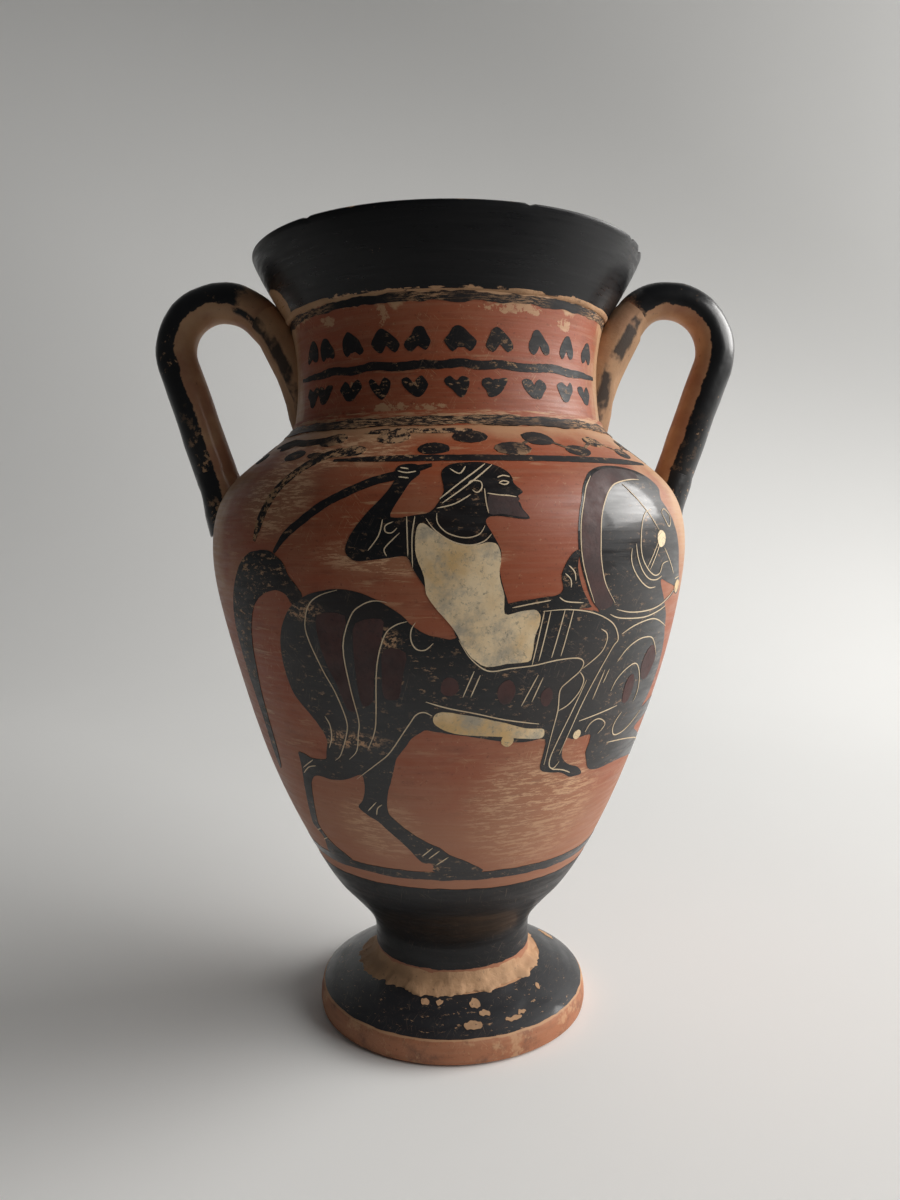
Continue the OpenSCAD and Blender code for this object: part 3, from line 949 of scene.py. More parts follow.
def build_lip():
    """The flaring lip with its knocked rim."""
    rim = [(70.3, TOP - 0.45), (69.9, TOP - 0.1), (69.2, TOP), (66.8, TOP), (64.6, TOP),
           (63.8, TOP - 0.3)]
    inside = bezier((63.4, TOP - 1.2), (60.5, 272.4), (51.7, 266.5), (NECK_BORE, LIP_SEAT), 14)
    outline = LIP_OUTSIDE + rim + inside
    bm = turned(outline, hidden_from=len(outline))
    chips = ((74, 3.2, 1.5), (63, 1.6, 0.7), (-38, 1.5, 0.5), (21, 1.3, 0.4), (118, 3.0, 1.1),
             (-152, 2.4, 1.0))
    for vert in bm.verts:
        degrees = degrees_of(vert.co)
        for at, wide, deep in chips:
            near = max(1 - abs(degrees - at) / wide, 0)
            if near and vert.co.z > (TOP - 2.2) * MM and vert.co.xy.length > 66.5 * MM:
                rough = 1 + 0.5 * noise.noise(vert.co * 900)
                vert.co.z -= near * deep * rough * MM
                vert.co.xy *= 1 - near * deep * 0.009
    uneven(bm)
    finished(bm, "amphora_lip", finish_for("lip"), ["lip"],
             lining=finish_for("base_slip"))


def handle_stations(side):
    """Where a handle's rope of clay runs: up from the neck, over, and down to the shoulder."""
    thick = bpy.context.scene.amphora_sizes.handle_radius / MM
    if side < 0:
        top, inner, outer, lean, leg = (83.7, 266.8), 21.4, 17.4, 43.5, 17.6
        swell = 0.45
    else:
        top, inner, outer, lean, leg = (81.1, 266.6), 15.6, 18.8, 44, 19.2
        swell = -0.1
    line = []
    start = Vector((top[0] - inner * math.cos(math.radians(lean)),
                    top[1] - inner + inner * math.sin(math.radians(lean))))
    uphill = Vector((math.sin(math.radians(lean)), math.cos(math.radians(lean))))
    line += [start - uphill * back for back in (17, 13, 9, 5, 2)]
    for i in range(11):
        turn = math.radians(180 - lean + (lean - 90) * i / 10)
        line.append(Vector((top[0] + inner * math.cos(turn),
                            top[1] - inner + inner * math.sin(turn))))
    for i in range(1, 17):
        turn = math.radians(90 - (90 + leg) * i / 16)
        line.append(Vector((top[0] + outer * math.cos(turn),
                            top[1] - outer + outer * math.sin(turn))))
    down = Vector((-math.sin(math.radians(leg)), -math.cos(math.radians(leg))))
    line += [line[-1] + down * step for step in (5, 11, 17, 23, 29, 35, 41, 47, 53, 58)]
    count = len(line) - 1
    return [(p.x, p.y, thick + swell + 0.6 * max(i / count - 0.6, 0) * 2)
            for i, p in enumerate(line)]


def build_handle(side):
    """One handle, pressed from a rolled rope of clay."""
    name = "left" if side < 0 else "right"
    bm = swept(handle_stations(side))
    lumpy(bm, 0.5, 70, seed=3.0 * side)
    into_wall(bm)
    if side < 0:
        bmesh.ops.scale(bm, vec=(-1, 1, 1), verts=bm.verts)
        bmesh.ops.reverse_faces(bm, faces=bm.faces)
    finished(bm, name + "_handle_rope", finish_for("handle"), [name + "_handle"])


def build_root_clay(side):
    """The clay smeared under a handle's arm and round the foot of its leg."""
    name = "left" if side < 0 else "right"
    line = handle_stations(side)
    arm = line[3]
    tail = [(50.2, 214.8, 6.9), (50.7, 219, 7.3), (51.2, 225, 7.9), (52.2, 231, 8.3),
            (53.8, 237, 8.7), (56.0, 243, 8.7), (arm[0] - 2.2, arm[1] - 2.6, 8.1),
            (arm[0], arm[1], arm[2] + 0.15), (line[5][0], line[5][1], line[5][2] - 0.2)]
    if side > 0:
        tail = [(x + 0.8, z, r + 0.7) for x, z, r in tail[:6]] + tail[6:]
    foot = Vector(line[-1][:2])
    up = (Vector(line[-6][:2]) - foot).normalized()
    collar = [(foot + up * far, radius) for far, radius in (
        (17, -0.35), (14, -0.05), (11, 0.1), (8, 0.3), (5, 0.6), (2, 1.0), (-2, 1.4), (-6, 1.7))]
    collar = [(p.x, p.y, line[-1][2] + more) for p, more in collar]
    for part, stations, flat, start in (("neck_root", tail, 1.35, 0.0),
                                        ("shoulder_root", collar, 1.1, 0.72)):
        bm = swept(stations, flat=flat, sides=48, start=start)
        lumpy(bm, 1.1 if part == "neck_root" else 0.6, 85, seed=7.0 + side)
        into_wall(bm)
        if side < 0:
            bmesh.ops.scale(bm, vec=(-1, 1, 1), verts=bm.verts)
            bmesh.ops.reverse_faces(bm, faces=bm.faces)
        node = name + "_" + part + "_luting"
        look = finish_for("root" if part == "neck_root" else "handle")
        finished(bm, node + "_clay", look, [node], sharp=70)


def build_lutings():
    """The rings of clay that join foot, body, neck and lip."""
    rings = {
        "foot_luting": ([(29.4, 22.4), (29.8, 20.8), (30.3, 19.4), (31.1, 18.3), (32.2, 17.6),
                         (33.5, 16.9), (34.4, 16.1), (33.8, 15.2), (31, 15.4), (29.0, 17),
                         (29.0, 20.5)], 0.5, 3.0),
        "neck_luting": ([(60.6, 215.3), (59.3, 216.5), (58.3, 217.6), (57.5, 219.2),
                         (56.9, 220.6), (56.2, 219.4), (57.2, 216.6), (59.3, 215.2)], 0.2, 0.5),
        "lip_luting": ([(57.7, 256.5), (58.2, 256.8), (58.6, 257.3), (58.9, 257.9), (58.4, 258.0),
                        (57.8, 257.6), (57.2, 256.9)], 0.25, 0.4),
    }
    for name, (outline, lumps, spread) in rings.items():
        loop = [tuple(p) for p in flowing(outline, steps=2)]
        bm = turned(loop, hidden_from=len(loop) * 2 // 3)
        furthest = max(p[0] for p in outline)
        for vert in bm.verts:
            angle = math.radians(degrees_of(vert.co))
            seed = Vector((math.cos(angle) * 5, math.sin(angle) * 5, 0.4))
            reach = vert.co.xy.length / MM
            share = max((reach - furthest + 4) / 4, 0)
            wander = noise.noise(seed * 0.6) + 0.5 * noise.noise(seed * 1.9)
            wander += 0.35 * noise.noise(seed * 5.3)
            wander -= 0.35 * math.sin(angle)
            move = spread * share * wander * MM
            vert.co.xy *= 1 + move / vert.co.xy.length
            vert.co.z -= 0.4 * move
        lumpy(bm, lumps, 180)
        look = finish_for("joint" if name == "neck_luting" else "tan")
        finished(bm, name + "_clay", look, [name], sharp=70)


# ---------------------------------------------------------------- the painted scene

HORSE = [
    (1.7, 151.8), (-1.5, 152.1), (-4.2, 153.2), (-6.5, 155.4), (-8.7, 158.6), (-11.5, 161.4),
    (-14.2, 163.6), (-17.4, 165.4), (-21, 166.1), (-24.6, 165.7), (-27.8, 164.6), (-30.5, 163.2),
    (-32.4, 161.8), (-34.6, 158.9), (-37.4, 153.2), (-39, 146.8), (-39.4, 140), (-39, 134.6),
    (-37.8, 130.4), (-35.5, 126.8), (-33.3, 123.2), (-31.7, 119.6), (-31.2, 116.4),
    (-32.4, 112.5), (-33.4, 110), (-36.5, 109.3), (-39.2, 109.3), (-41.5, 110.2), (-43.7, 110.2),
    (-44.1, 107.5), (-44.6, 103.9), (-46, 98.9), (-47.4, 93.9), (-49, 88.9), (-50.8, 83.9),
    (-51.5, 81.1), (-49.6, 78.9), (-48.3, 76.1), (-49.2, 73.2), (-49.2, 70.2), (-37, 70.2),
    (-41, 73.2), (-44.6, 75.7), (-46.8, 78.6), (-47.8, 81.8), (-46, 87.5), (-44.2, 93.2),
    (-42.4, 98.9), (-40.1, 102.1), (-37.4, 102.9), (-33.7, 102.5), (-30.1, 103), (-26.5, 104.3),
    (-23.3, 106.1), (-22.6, 104.6), (-22.8, 101.1), (-24.2, 96.8), (-26.2, 93.9), (-24.2, 91.4),
    (-21, 89.3), (-18.3, 86.1), (-15.5, 82.9), (-12.8, 79.6), (-10.5, 76.1), (-8.3, 73.9),
    (-6.2, 74.1), (-5.2, 72.8), (-4.4, 70.2), (11, 70.2), (7.8, 73.4), (4.1, 75.6), (0, 77.7),
    (-2.8, 80.4), (-6, 82.1), (-9.6, 84.6), (-12.8, 87.5), (-16, 91.1), (-17.1, 93.2),
    (-16.9, 96.8), (-16, 101.1), (-14.6, 105.4), (-13.5, 109.6), (-12.4, 113.2), (-10.1, 116.8),
    (-8.3, 120), (-6, 122.1), (-4.6, 122.8), (0, 121.7), (6.4, 120.3), (12.9, 118.5),
    (18.4, 117.7), (23.9, 118), (24.1, 112), (24.2, 107.4), (27.6, 105.8), (31.2, 105.1),
    (34, 103), (36.7, 102.8), (38.6, 103.3), (36.7, 105.8), (33.1, 107.6), (30.3, 110.2),
    (29.6, 113.8), (30.2, 117.4), (32.6, 116.7), (37.5, 117.4), (38.1, 114.5), (37.9, 110.9),
    (39, 108), (40.4, 105.1), (42.3, 103.7), (46.9, 103.3), (52.4, 103.7), (60, 103.3),
    (70, 101.5), (80, 97.9), (86, 93), (90, 87), (93, 85), (94.5, 89), (91, 95), (86, 100.5),
    (80, 104.4), (70, 109.5), (60.5, 113.9), (64, 116.2), (73, 117), (82, 113), (88, 107),
    (92, 106.5), (89.5, 114), (81, 120.5), (71, 123), (64, 122.4), (60.6, 121.9),
    (62.9, 125.3), (64.3, 129.6), (65.2, 134.7), (64.8, 139.7), (63.4, 144.8), (61.6, 149.1),
    (60.2, 153.8), (58.3, 157), (56.3, 160.3), (53.3, 166.3), (58, 164.9), (63.2, 163.2),
    (63.6, 161.4), (66.1, 160.3), (68.4, 161.4), (68, 164.2), (66.1, 167.1), (64.5, 171.4),
    (63.8, 175.8), (62.5, 180.8), (60.2, 185.9), (57.9, 189.5), (56.4, 192), (57, 194),
    (58.3, 195.6), (57.9, 197.4), (56, 199.6), (52.4, 201.4), (46.9, 202.5), (41.3, 202.6),
    (36.7, 201.7), (33.1, 199.6), (30.3, 196), (28.5, 190.9), (27.3, 185.9), (26.9, 180.1),
    (27.3, 173.6), (28.9, 167.1), (30.8, 161.6), (33, 158.1), (30.3, 158.8), (20, 160),
    (12.2, 159.6), (5, 156),
]
TAIL = [
    (-30.2, 163.6), (-31.5, 166.8), (-33.3, 169.6), (-34.6, 173.2), (-36.5, 175.4),
    (-39.2, 177.1), (-42.8, 177.1), (-46, 176.1), (-49.2, 173.2), (-51.9, 168.9),
    (-54.6, 163.2), (-56.9, 156.8), (-58.3, 150.4), (-59, 143.2), (-59.2, 136.1),
    (-59, 128.9), (-58.7, 121.8), (-59, 114.6), (-59.6, 107.5), (-59.8, 100.4),
    (-57.8, 101.8), (-56, 107.5), (-55.1, 114.6), (-54.4, 121.8), (-53.7, 128.9),
    (-52.4, 136.1), (-51.2, 143.2), (-49.4, 150.4), (-47.4, 156.1), (-44.6, 161.1),
    (-41, 163.9), (-37.4, 165), (-34.6, 163.9), (-33, 161),
]


def quarter_oval(middle, half, steps=4):
    """Returns a quarter of an oval, from its top round to its right-hand end."""
    turns = [math.pi / 2 * step / steps for step in range(steps + 1)]
    return [(middle[0] + half[0] * math.sin(turn), middle[1] + half[1] * math.cos(turn))
            for turn in turns]


RIDER = [
    (-10.8, 200.4), (-10.1, 202.1), (-8, 202.6), (-6, 202.1), (-5.3, 199.6), (-6.9, 197.5),
    (-8.7, 193.2), (-10.6, 188), (-9.6, 186.8), (-5.5, 187.6), (-2.9, 188.4), (-1.4, 190.9),
    (-0.2, 194.5), (-0.7, 198.8), (-0.3, 201), (1.8, 202.5),
    *quarter_oval((6.4, 197.6), (7.8, 5.4)), (14.1, 197.0), (14.5, 196.0), (15.7, 194.1),
    (15.1, 193.3), (14.6, 192.8), (14.9, 192.0), (14.5, 191.4), (14.9, 190.7), (15.3, 189),
    (16.6, 186.3), (13.6, 186.5), (11, 187.1), (8.6, 186.9), (7.8, 185.4), (8.9, 182.3),
    (9.9, 179.7), (10.7, 176.5), (10.3, 172.2), (11, 167.1), (12.2, 161.6), (12, 157),
    (3, 152), (1.3, 155.4), (-0.5, 158.9), (-2.4, 163.2), (-4.2, 167.5), (-6, 171.8),
    (-7.4, 175.7), (-10.5, 175.4), (-15.1, 174.6), (-17.8, 174.6), (-19.6, 176.8),
    (-19.2, 180.4), (-17.4, 184.6), (-14.6, 189.6), (-11.9, 193.9), (-10.3, 198.2),
]
FOREARM = [
    (10.5, 158), (11, 161), (12.4, 161.9), (15.6, 162.7), (20.2, 163.4), (22.5, 163.9),
    (23.7, 165.7), (23.2, 170), (24.8, 174.7), (26.4, 176.9), (27.1, 176.3), (26.8, 172),
    (27.7, 167), (29, 163.5), (30.3, 160.6), (30, 159.4), (20, 159), (12, 157.5),
]
WHIP = [(-2.9, 202.2), (-6.4, 200.9), (-10.1, 199.2), (-15.1, 197.5), (-20.5, 194.3),
        (-25.5, 190.7), (-30.5, 185.7),
        (-34.2, 181.8), (-37.4, 176.5)]
TUNIC = [
    (-5.1, 184.8), (-5.7, 180.8), (-5.5, 175.8), (-4.1, 170), (-3.7, 165), (-2.3, 161.4),
    (0, 157.4), (1.8, 153.8), (3.2, 149.8), (5.1, 145.9), (8.3, 143), (12.4, 143.7), (17, 144),
    (17.9, 146.2), (18.1, 151.3), (19.1, 156.3), (18.6, 158.8), (17.5, 159.8), (14.2, 159.3),
    (11.6, 158.8), (11.3, 164.2), (10.3, 170), (10.6, 175.1), (10, 178.7), (8.3, 179.7),
    (6, 179), (2.8, 179), (0, 180.8), (-2.3, 183.3), (-3.9, 185),
]
STRAP = [
    (-3, 127.5), (-1.8, 128.7), (0, 128.8), (4.1, 127.8), (8.7, 126.4), (13.3, 124.6),
    (18.4, 122.4), (22.5, 121.8), (23.3, 120.6), (23.2, 119), (21.6, 118.5), (18.4, 119),
    (13.3, 120), (7.8, 120.8), (3.2, 121.3), (-0.9, 123.1), (-3, 125.3),
]
MANE = [
    (31.4, 160.6), (29.6, 167.1), (28.1, 173.6), (27.7, 180.1), (28.1, 185.9), (29.3, 190.9),
    (31, 195.6), (33.8, 198.8), (37, 200.8), (41.3, 201.7), (46.9, 201.6), (50.4, 200.6),
    (49.6, 198.5), (46.9, 198.3), (42.3, 197.5), (38.6, 196), (35.4, 192.4), (33.1, 186.6),
    (32.4, 178.7), (32.6, 172.9), (34, 166.4), (36.6, 160.6), (34, 158.6),
]
HAUNCH_STRIPES = [
    [(-26.9, 158.2), (-27.4, 150.4), (-26.5, 143.2), (-24.6, 136.1), (-23.3, 128.9),
     (-21, 128.2), (-21, 133.2), (-22.1, 143.2), (-21.9, 150.4), (-20.5, 158.2)],
    [(-18.3, 156.1), (-12.8, 157.5), (-12.8, 153.2), (-14.2, 146.8), (-15.5, 139.6),
     (-16.5, 131.8), (-19.2, 130.4), (-19.6, 139.6), (-19.4, 148.2)],
    [(-12.8, 148.2), (-8.3, 147.5), (-9.2, 140.4), (-10.5, 133.2), (-13.7, 133.2),
     (-13.7, 140.4)],
]
BEARD = [
    (8.2, 190.6), (8.9, 193.4), (11, 192.8), (13, 192.6), (14.4, 192.4), (14.6, 191.4),
    (14.7, 189.6), (16.2, 186.8), (13.6, 187), (11, 187.6), (8.6, 187.6),
]
PURPLE_SPOTS = [((0.7, 136.8), 2, 3), ((12.9, 134.7), 2, 4), ((22.5, 132.2), 1.5, 3),
                ((55.6, 138.3), 3.6, 6), ((48.5, 130.6), 2, 5)]
CREAM_SPOTS = [((14.2, 118.8), 1.5, 2.1), ((33.1, 118.1), 1.15, 1.6), ((52.8, 179.7), 1.9, 2.8),
               ((65.4, 163.2), 2.4, 2.3)]

HORSE_LINES = [
    [(-21.7, 165.9), (-25.5, 164.3), (-28.3, 161.8), (-29.9, 157.5), (-30.3, 151.8),
     (-27.8, 141.1), (-25.5, 133.9), (-24, 125.4), (-24.6, 120.4), (-27.8, 112.5), (-30.1, 110.1)],
    [(-11.5, 162.5), (-14.2, 162.9), (-16.9, 161.4), (-19.2, 158.2), (-21.7, 148.9),
     (-21.5, 136.8), (-20.7, 125.4), (-21.5, 120.4), (-22.8, 114.6), (-25.5, 111.2)],
    [(-7.6, 156.9), (-10.1, 155.7), (-12.4, 152.5), (-14.6, 143.2), (-16, 128.9),
     (-17.1, 121.8), (-19.6, 115.5)],
    [(-3.3, 127.6), (-5.1, 128.8), (-6.9, 127.9), (-8.7, 124.6), (-13.7, 115.4),
     (-17.4, 111.1), (-24.6, 104.3)],
    [(-6, 156.6), (-6.9, 154.3), (-7, 151.1), (-6, 148.6), (-4.2, 148.4), (-2.6, 150.4)],
    [(-29.9, 125.4), (-29, 122.5), (-29.4, 118.2), (-31, 114.3)],
    [(-43.7, 104.6), (-38.3, 108.6)],
    [(-44.2, 102.5), (-41, 105.4), (-37.8, 106.6)],
    [(-23.3, 92.9), (-20.1, 96.6)],
    [(-20.8, 91.8), (-20.1, 94.3), (-18.5, 95.9)],
    [(-8.7, 76.8), (-5.1, 80.4)],
    [(-6.5, 76.1), (-3, 79.3)],
    [(-4.2, 73.6), (-0.3, 76.8)],
    [(-50.3, 79), (-47.4, 80.4)],
    [(-49, 75.6), (-45.8, 77.2)],
    [(-4.6, 132.2), (0, 130.2), (6.4, 128.2), (13.3, 125.7), (21.6, 123.5)],
    [(5.7, 141.7), (3.4, 133.6)],
    [(7, 140.4), (5.1, 133.6)],
    [(19.8, 139.7), (16.6, 130)],
    [(21, 138.7), (19, 131.1)],
    [(37.6, 139.1), (35.6, 129.6)],
    [(39, 139.1), (37.9, 134.7)],
    [(41.3, 141.2), (43.6, 144.8), (46.9, 147.1), (50.5, 147.8), (54.7, 146.6), (59.3, 140.4)],
    [(41.3, 131.4), (42.3, 134.7), (44.6, 137.6), (47.8, 139.4), (50.1, 138.3), (52.4, 134),
     (53.5, 128.9), (52.8, 125.7)],
    [(40.9, 150.2), (44.6, 152.3), (50.1, 153.6), (54.7, 153.1), (61.6, 149.8)],
    [(37.9, 158.3), (42.3, 157), (47.8, 156.7), (53.3, 157.4), (57.9, 159.2), (62.5, 162)],
    [(36.1, 157), (39.5, 155.4), (47.8, 154.7), (54.2, 155.9), (58.2, 157.2)],
    [(32.8, 122.8), (45.2, 125.7)],
    [(35.6, 118.5), (36.7, 121.3), (39, 122.4), (41.3, 121.3), (42.2, 119.5), (40.4, 117)],
    [(48.2, 122.8), (46.6, 120.3), (46.2, 117.4), (47.8, 114.9), (51.4, 114.9), (55.6, 117),
     (60, 120.6)],
    [(45.5, 112.7), (52.4, 112), (60, 110.5), (70, 107.6), (80, 103)],
    [(49.6, 188.9), (46.9, 187.7), (45, 183.7), (44.3, 177.9), (45, 173.6), (47.3, 170),
     (50.1, 168), (52.4, 168.6), (53.5, 171.4), (56.3, 172.2)],
    [(42.7, 178.3), (43.2, 174.3), (45, 170), (47.8, 167.1), (51, 166.5), (53.5, 167.5)],
    [(41.3, 176.9), (41.1, 173.6), (42.3, 170), (45, 166.4), (48.2, 164.2), (51, 164.2)],
    [(51.9, 177.9), (48, 170)],
    [(51, 178.3), (46.9, 170.7)],
    [(42.3, 196.7), (51.9, 182.3)],
    [(54.2, 176.5), (60.6, 167.8)],
    [(62.4, 165.8), (65.8, 166.4)],
    [(54.2, 188), (56, 189.1), (58.3, 187.3), (58.6, 185.1), (57.4, 183.4), (56.2, 184.4),
     (54.2, 188)],
    [(37.2, 160.3), (34, 166.4), (32.6, 172.9), (32.4, 178.7), (33.1, 186.6), (35.4, 192.4),
     (38.6, 196), (42.3, 197.5), (46.9, 198.3), (50.2, 198.3)],
    [(31.4, 160.9), (29.4, 167.1), (27.9, 173.6), (27.5, 180.1), (27.9, 185.9), (29.1, 190.9),
     (30.9, 195.6), (33.6, 199)],
]
RIDER_LINES = [
    [(-12.1, 186.4), (-12.8, 181.8), (-14.9, 177.5)],
    [(-10, 185.7), (-11.5, 184.6), (-11.5, 182.9), (-10.3, 182.5), (-9.2, 183.9)],
    [(-8.7, 182.5), (-11.2, 178.9), (-11.7, 177.5), (-11.2, 175.9)],
    [(-7.4, 187.2), (-7.2, 181), (-7.1, 175.9)],
    [(-5.8, 187.2), (-6.3, 181), (-6.2, 172.6)],
    [(-10.2, 200.4), (-8.2, 199.8), (-6.2, 200.2)],
    [(-9.8, 201.4), (-8, 201)],
    [(-9.8, 198.6), (-7.6, 198.2)],
    [(-1.6, 188), (-1.4, 185.1), (0.5, 182.3), (3.7, 181), (6.4, 181.9), (7.6, 184.4)],
    [(-3.7, 186.6), (-1.8, 183), (1.4, 179.9), (4.6, 178.9), (7.3, 179.9), (8.8, 182)],
    [(-1.1, 192), (3.2, 196.9), (8.8, 202.4)],
    [(-0.6, 190.8), (4.1, 195.6), (10.3, 202.1)],
    [(-1.6, 189.4), (1.8, 190.6), (5, 193.2)],
    [(1, 200.9), (3, 199.4), (4.4, 201.6)],
    [(4.6, 196.2), (5.4, 197.2), (7.2, 197), (7.4, 195.2), (6.4, 193.8), (5.4, 194.6)],
    [(7.9, 195), (8, 191), (8.4, 187.9)],
    [(8.4, 193.6), (10.6, 193.1), (12.6, 192.9), (14.3, 192.5)],
    [(10.9, 198.2), (12.2, 198.8), (13.6, 198.4)],
    [(11.0, 196.6), (12.0, 197.2), (13.1, 196.8), (12.2, 196.1), (11.0, 196.6)],
    [(19.8, 159.4), (18.9, 151), (18.1, 143)],
    [(21.2, 159.4), (20.3, 151), (19.5, 144)],
    [(24.4, 159.4), (23.4, 152), (22.4, 144.8)],
    [(26.4, 159.2), (25.5, 152), (24.6, 145.1)],
    [(2.5, 151.3), (4.6, 146.2), (7.3, 142.6), (9.6, 141.5), (13.3, 142.2), (18.4, 142.7),
     (23.9, 143.9), (28.9, 144), (30.8, 142.4), (30.1, 139.6), (27.6, 136.8), (25.7, 134),
     (26, 127.5), (25.4, 119), (24.9, 109)],
    [(30.3, 139.4), (31.7, 136.8), (31.2, 133.2), (28.9, 129.3), (26.2, 127.3)],
    [(34.2, 152.6), (36.1, 150.9), (36.3, 147.7), (34.9, 144.4), (30.8, 140.4)],
    [(19.5, 159.2), (24.8, 159.4), (30.3, 158.3), (34.9, 156), (38.1, 153.1), (39.9, 148.7),
     (38.6, 146.2), (35.4, 137.6), (32.6, 128.6), (30.6, 119.8), (28.9, 112)],
    [(32.6, 136.5), (30.3, 127.5), (27.8, 118.1), (26.4, 111.6), (26.6, 108.4), (28, 107.3),
     (29.4, 109.5)],
    [(27.6, 107), (31, 106.2), (34, 104.6)],
    [(23.9, 170.2), (25.2, 168.4), (25.4, 166)],
    [(24.6, 172.6), (26, 170.6), (26.4, 168)],
    [(22.9, 163.2), (24.6, 161.8), (28.6, 161.2)],
    [(13, 160.6), (17, 161.6), (21, 162.4)],
]


def oval(middle, across, up, seed=0.0, points=14):
    """A hand-dabbed spot, half sizes in degrees and millimetres."""
    outline = []
    for i in range(points):
        turn = 2 * math.pi * i / points
        grow = 1 + 0.16 * noise.noise(Vector((math.cos(turn), math.sin(turn), seed + middle[0])))
        outline.append((middle[0] + across * grow * math.cos(turn),
                        middle[1] + up * grow * math.sin(turn)))
    return outline


def brushed(outline, seed=0.0, shake=0.12, steps=3):
    """A smooth outline with the small waver of a hand."""
    line = flowing(outline, steps=steps)
    for point in line:
        where = Vector((point.x * 0.55, point.y * 0.45, seed))
        point.x += shake * noise.noise(where)
        point.y += shake * 1.4 * noise.noise(where + Vector((0, 0, 9)))
    return line


def heart(middle, low, high, half, dice, tip_up=True):
    """A heart-shaped leaf as one brush-load of slip."""
    shape = [(0, 1), (0.36, 0.84), (0.68, 0.34), (1.0, -0.2), (0.94, -0.72), (0.56, -0.98),
             (0.2, -0.7), (-0.02, -0.5), (-0.24, -0.72), (-0.6, -0.98), (-0.98, -0.7),
             (-0.98, -0.16), (-0.66, 0.36), (-0.34, 0.84)]
    centre, reach = (low + high) / 2, (high - low) / 2
    lean = dice.uniform(-0.25, 0.25)
    notch = dice.uniform(-0.3, 0.25)
    way = 1 if tip_up else -1
    points = []
    for i, (x, y) in enumerate(shape):
        x = x * dice.uniform(0.84, 1.12) + lean * y
        y = y * dice.uniform(0.88, 1.1) + (notch if i == 7 else 0)
        points.append((middle + x * half, centre + way * y * reach))
    return flowing(points, steps=2)


def paint_neck():
    """The chain of leaves round the neck, with a waving stem between its two rows."""
    dice = random.Random(11)
    places = (-53, -43.5, -31.5, -19, -7, 6, 19, 33, 46.5, 61)
    leaves = []
    for turn in (0, 180):
        for place in places:
            at = turn + place - 1.6 + dice.uniform(-0.8, 0.8)
            leaves.append(heart(at, 238.8, 246.4, 4.5 + dice.uniform(-0.4, 0.5), dice))
            at += dice.uniform(-1.5, 1.5) - 0.8
            leaves.append(heart(at, 224.6, 231.2, 4.2 + dice.uniform(-0.5, 0.5), dice, False))
    painted("neck_leaves", leaves, NECK, 0, finish_for("leaf"))
    waves = []
    for turn in (0, 180):
        line = []
        for i in range(35):
            degrees = turn - 66 + i * 3.95
            wander = noise.noise(Vector((degrees * 0.11, 0, 5)))
            line.append((degrees, 234.7 + 0.3 * math.sin(degrees * 0.4) + 0.9 * wander))
        waves.append(stroke(line, 2.7, NECK, steps=3, ends=0.4))
    painted("neck_stem", waves, NECK, 0.02, finish_for("leaf"))


def paint_shoulder():
    """The worn row of buds that runs round the shoulder on a zigzag line."""
    dice = random.Random(5)
    buds, faint, zigzag, line = [], [], [], []
    for i in range(36):
        place = 10 * i - 184 + dice.uniform(-0.9, 0.9)
        height = (211.2 if i % 2 else 207.2) + dice.uniform(-0.3, 0.3)
        worn = dice.random() < (0.5 if -75 < place < -12 or 105 < place < 168 else 0.1)
        size = dice.uniform(0.85, 1.15)
        bud = oval((place, height), 4.4 * size, 2.0 * size, seed=place, points=12)
        (faint if worn else buds).append(bud)
        line.append((place, height))
    for i in range(0, len(line) - 4, 4):
        if not -70 < line[i][0] < -20:
            zigzag.append(stroke(line[i:i + 5], 0.8, BODY, steps=3, ends=0.3))
    painted("shoulder_buds", buds, BODY, 0, finish_for("leaf"), cell=(3.0, 1.0))
    painted("shoulder_faint_buds", faint, BODY, 0, finish_for("smear"), cell=(3.0, 1.0))
    painted("shoulder_zigzag", zigzag, BODY, 0.01, finish_for("worn_slip"), cell=(3.0, 1.0))
    lines = []
    for turn in (0, 180):
        lines.append(stroke([(turn + 4 * i - 28, 204.4) for i in range(24)], 1.9, BODY, steps=3))
    painted("shoulder_line", lines, BODY, 0.02, finish_for("leaf"), cell=(3.0, 1.0))
    smears = [stroke([(-27, 208), (-34, 204.5), (-39, 198), (-42, 190), (-44.5, 180)], 3.4, BODY),
              stroke([(-62, 211), (-54, 212), (-44, 211.2), (-34, 211.8)], 2.2, BODY),
              stroke([(-24, 213.4), (-14, 213.8), (-4, 213.4), (7, 213.7)], 1.6, BODY),
              stroke([(-38, 206.6), (-31, 206.2), (-22, 206.5)], 1.8, BODY)]
    painted("shoulder_smears", smears, BODY, 0, finish_for("smear"), cell=(3.0, 1.0))


